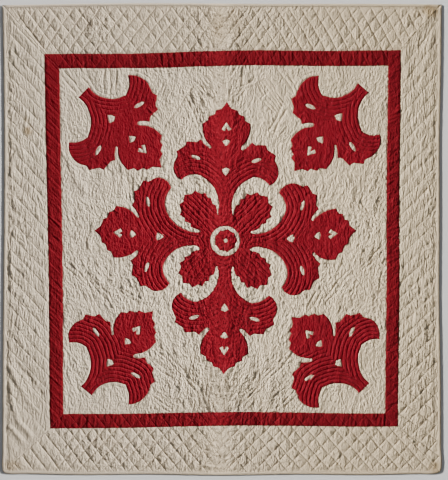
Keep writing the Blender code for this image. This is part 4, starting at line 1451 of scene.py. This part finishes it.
def binding_strip(side):
    """One folded strip along a side, puckered by its hem stitches."""
    pick = side_run(side)
    rows = []
    for inset, height in BINDING_SECTION:
        row = offset_loop(FOLD_LINE, BINDING_FACE - inset * MM)[pick]
        x, y = row.T
        along = x + y
        puffed = noise(along / 0.011, np.full(len(row), inset / 9), 81) * 0.45 * MM * (height > 4)
        hem = noise(along / 0.03, np.zeros(len(row)), 82) * 0.5 * MM * (inset > 12)
        inwards = offset_loop(FOLD_LINE, -1.0)[pick] - FOLD_LINE[pick]
        inwards /= np.hypot(*inwards.T)[:, None]
        row = row + inwards * hem[:, None]
        rows.append(np.column_stack([row, np.maximum(0, height * MM + puffed)]))
    points = np.array(rows)
    count, length = points.shape[:2]
    index = np.arange(count * length).reshape(count, length)
    around = np.roll(index, -1, axis=0)
    a, b, c, d = index[:, :-1].ravel(), index[:, 1:].ravel(), around[:, 1:].ravel(), around[:, :-1].ravel()
    faces = [np.stack([a, b, c], axis=1), np.stack([a, c, d], axis=1)]
    for end, turn in ((0, 1), (-1, -1)):
        ring = index[:, end]
        faces.append(ring[END_TRIANGLES][:, ::turn])
    return cloth_object(f"bound_edge_{side}", points.reshape(-1, 3), np.concatenate(faces), BINDING)


UNQUILTED = {"echo": 0.5, "straight_one": 0.5, "straight_two": 0.5, "spray": 0.5,
             "firm": 0, "firm_one": 0, "firm_two": 0, "firm_spray": 0, "slip": 0, "loose": 0.5}
bindings = {side: binding_strip(side) for side in SIDES}
for piece in bindings.values():
    mark(piece, **{name: np.full(len(piece.data.vertices), value) for name, value in UNQUILTED.items()})

# ---------------------------------------------------------------- camera, light and floor


def camera():
    """Straight above, through a long lens, so that the whole quilt just fills the frame."""
    data = bpy.data.cameras.new("camera")
    data.lens, data.sensor_width = LENS, SENSOR
    data.clip_end = 100
    holder = placed("camera", data)
    holder.location = (*VIEW_MIDDLE, VIEW_HEIGHT * LENS / SENSOR)
    bpy.context.scene.camera = holder


def soft_beam(name, half):
    """A wide panel lamp far to one side that lights one half of the floor, right or left, evenly.

    Its beam fades out across the middle line, where the other half's beam takes over.
    """
    across = np.array((-half, 1, 1)) * LAMP_WAY / np.linalg.norm(LAMP_WAY)
    beside = np.array((0.0, 1.0, 0.0)) - across[1] * across
    beside /= np.linalg.norm(beside)
    upwards = np.cross(across, beside)
    data = bpy.data.lights.new(name, "AREA")
    data.shape, data.size, data.size_y = "RECTANGLE", LAMP_BREADTH, LIT * abs(float(upwards[0]))
    data.energy = LAMP_STRENGTH * data.size * data.size_y
    data.spread = radians(BEAM_SPREAD)
    data.color = (1.0, 0.975, 0.93)
    lamp = placed(name, data)
    place = Vector((half * (LIT / 2 + APART) + MIDDLE, 0, 0)) + Vector(across) * LAMP_AWAY
    turn = Matrix((beside, upwards, across)).transposed().to_4x4()
    lamp.matrix_world = Matrix.Translation(place) @ turn
    lamp.visible_camera = False


def floor():
    corners = [(FLOOR_HALF * x, FLOOR_HALF * y, 0) for x, y in ((-1, -1), (1, -1), (1, 1), (-1, 1))]
    mesh = bpy.data.meshes.new("floor")
    mesh.from_pydata(corners, [], [(0, 1, 2, 3)])
    recipe = Recipe("pale_floor")
    colour = recipe.mix(recipe.patches(0.5, detail=3) * 0.3, grey(0.654), grey(0.619))
    mesh.materials.append(recipe.shader(colour, 0.8, recipe.patches(0.01) * 0.1, 0.0))
    plane = placed("floor", mesh)
    plane.location.z = -FLOOR_DROP


def room():
    """Even pale light from all round, to fill the shadows."""
    world = bpy.data.worlds.new("room")
    world.use_nodes = True
    light = world.node_tree.nodes["Background"].inputs
    light["Color"].default_value = rgb(0.93, 0.96, 1.0)
    light["Strength"].default_value = ROOM_LIGHT
    bpy.context.scene.world = world


camera()
soft_beam("lamp_for_left_half", -1)
soft_beam("lamp_for_right_half", 1)
room()
floor()

# ---------------------------------------------------------------- what rides on what


def flat_size(points):
    size = points.max(axis=0) - points.min(axis=0)
    return float(size[0]), float(size[1])


def plan_area(slab):
    a, b, c = (slab.points[slab.faces[:, k], :2] for k in range(3))
    return float(np.abs((b - a)[:, 0] * (c - a)[:, 1] - (b - a)[:, 1] * (c - a)[:, 0]).sum() / 2)


def declare(slab, node):
    piece = slab.piece
    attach(piece, "root")
    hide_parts(node)
    flat_size(slab.points[:, :2])
    plan_area(slab)


for key, slab in slabs.items():
    if key in GROUND_KEYS:
        declare(slab, "quilt_body")
    elif key.startswith("sash"):
        declare(slab, key)
    else:
        declare(slab, key)
for slot, piece in stitches.items():
    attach(piece, "root")
for side, piece in bindings.items():
    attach(piece, "root")
    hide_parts(f"binding_{side}")
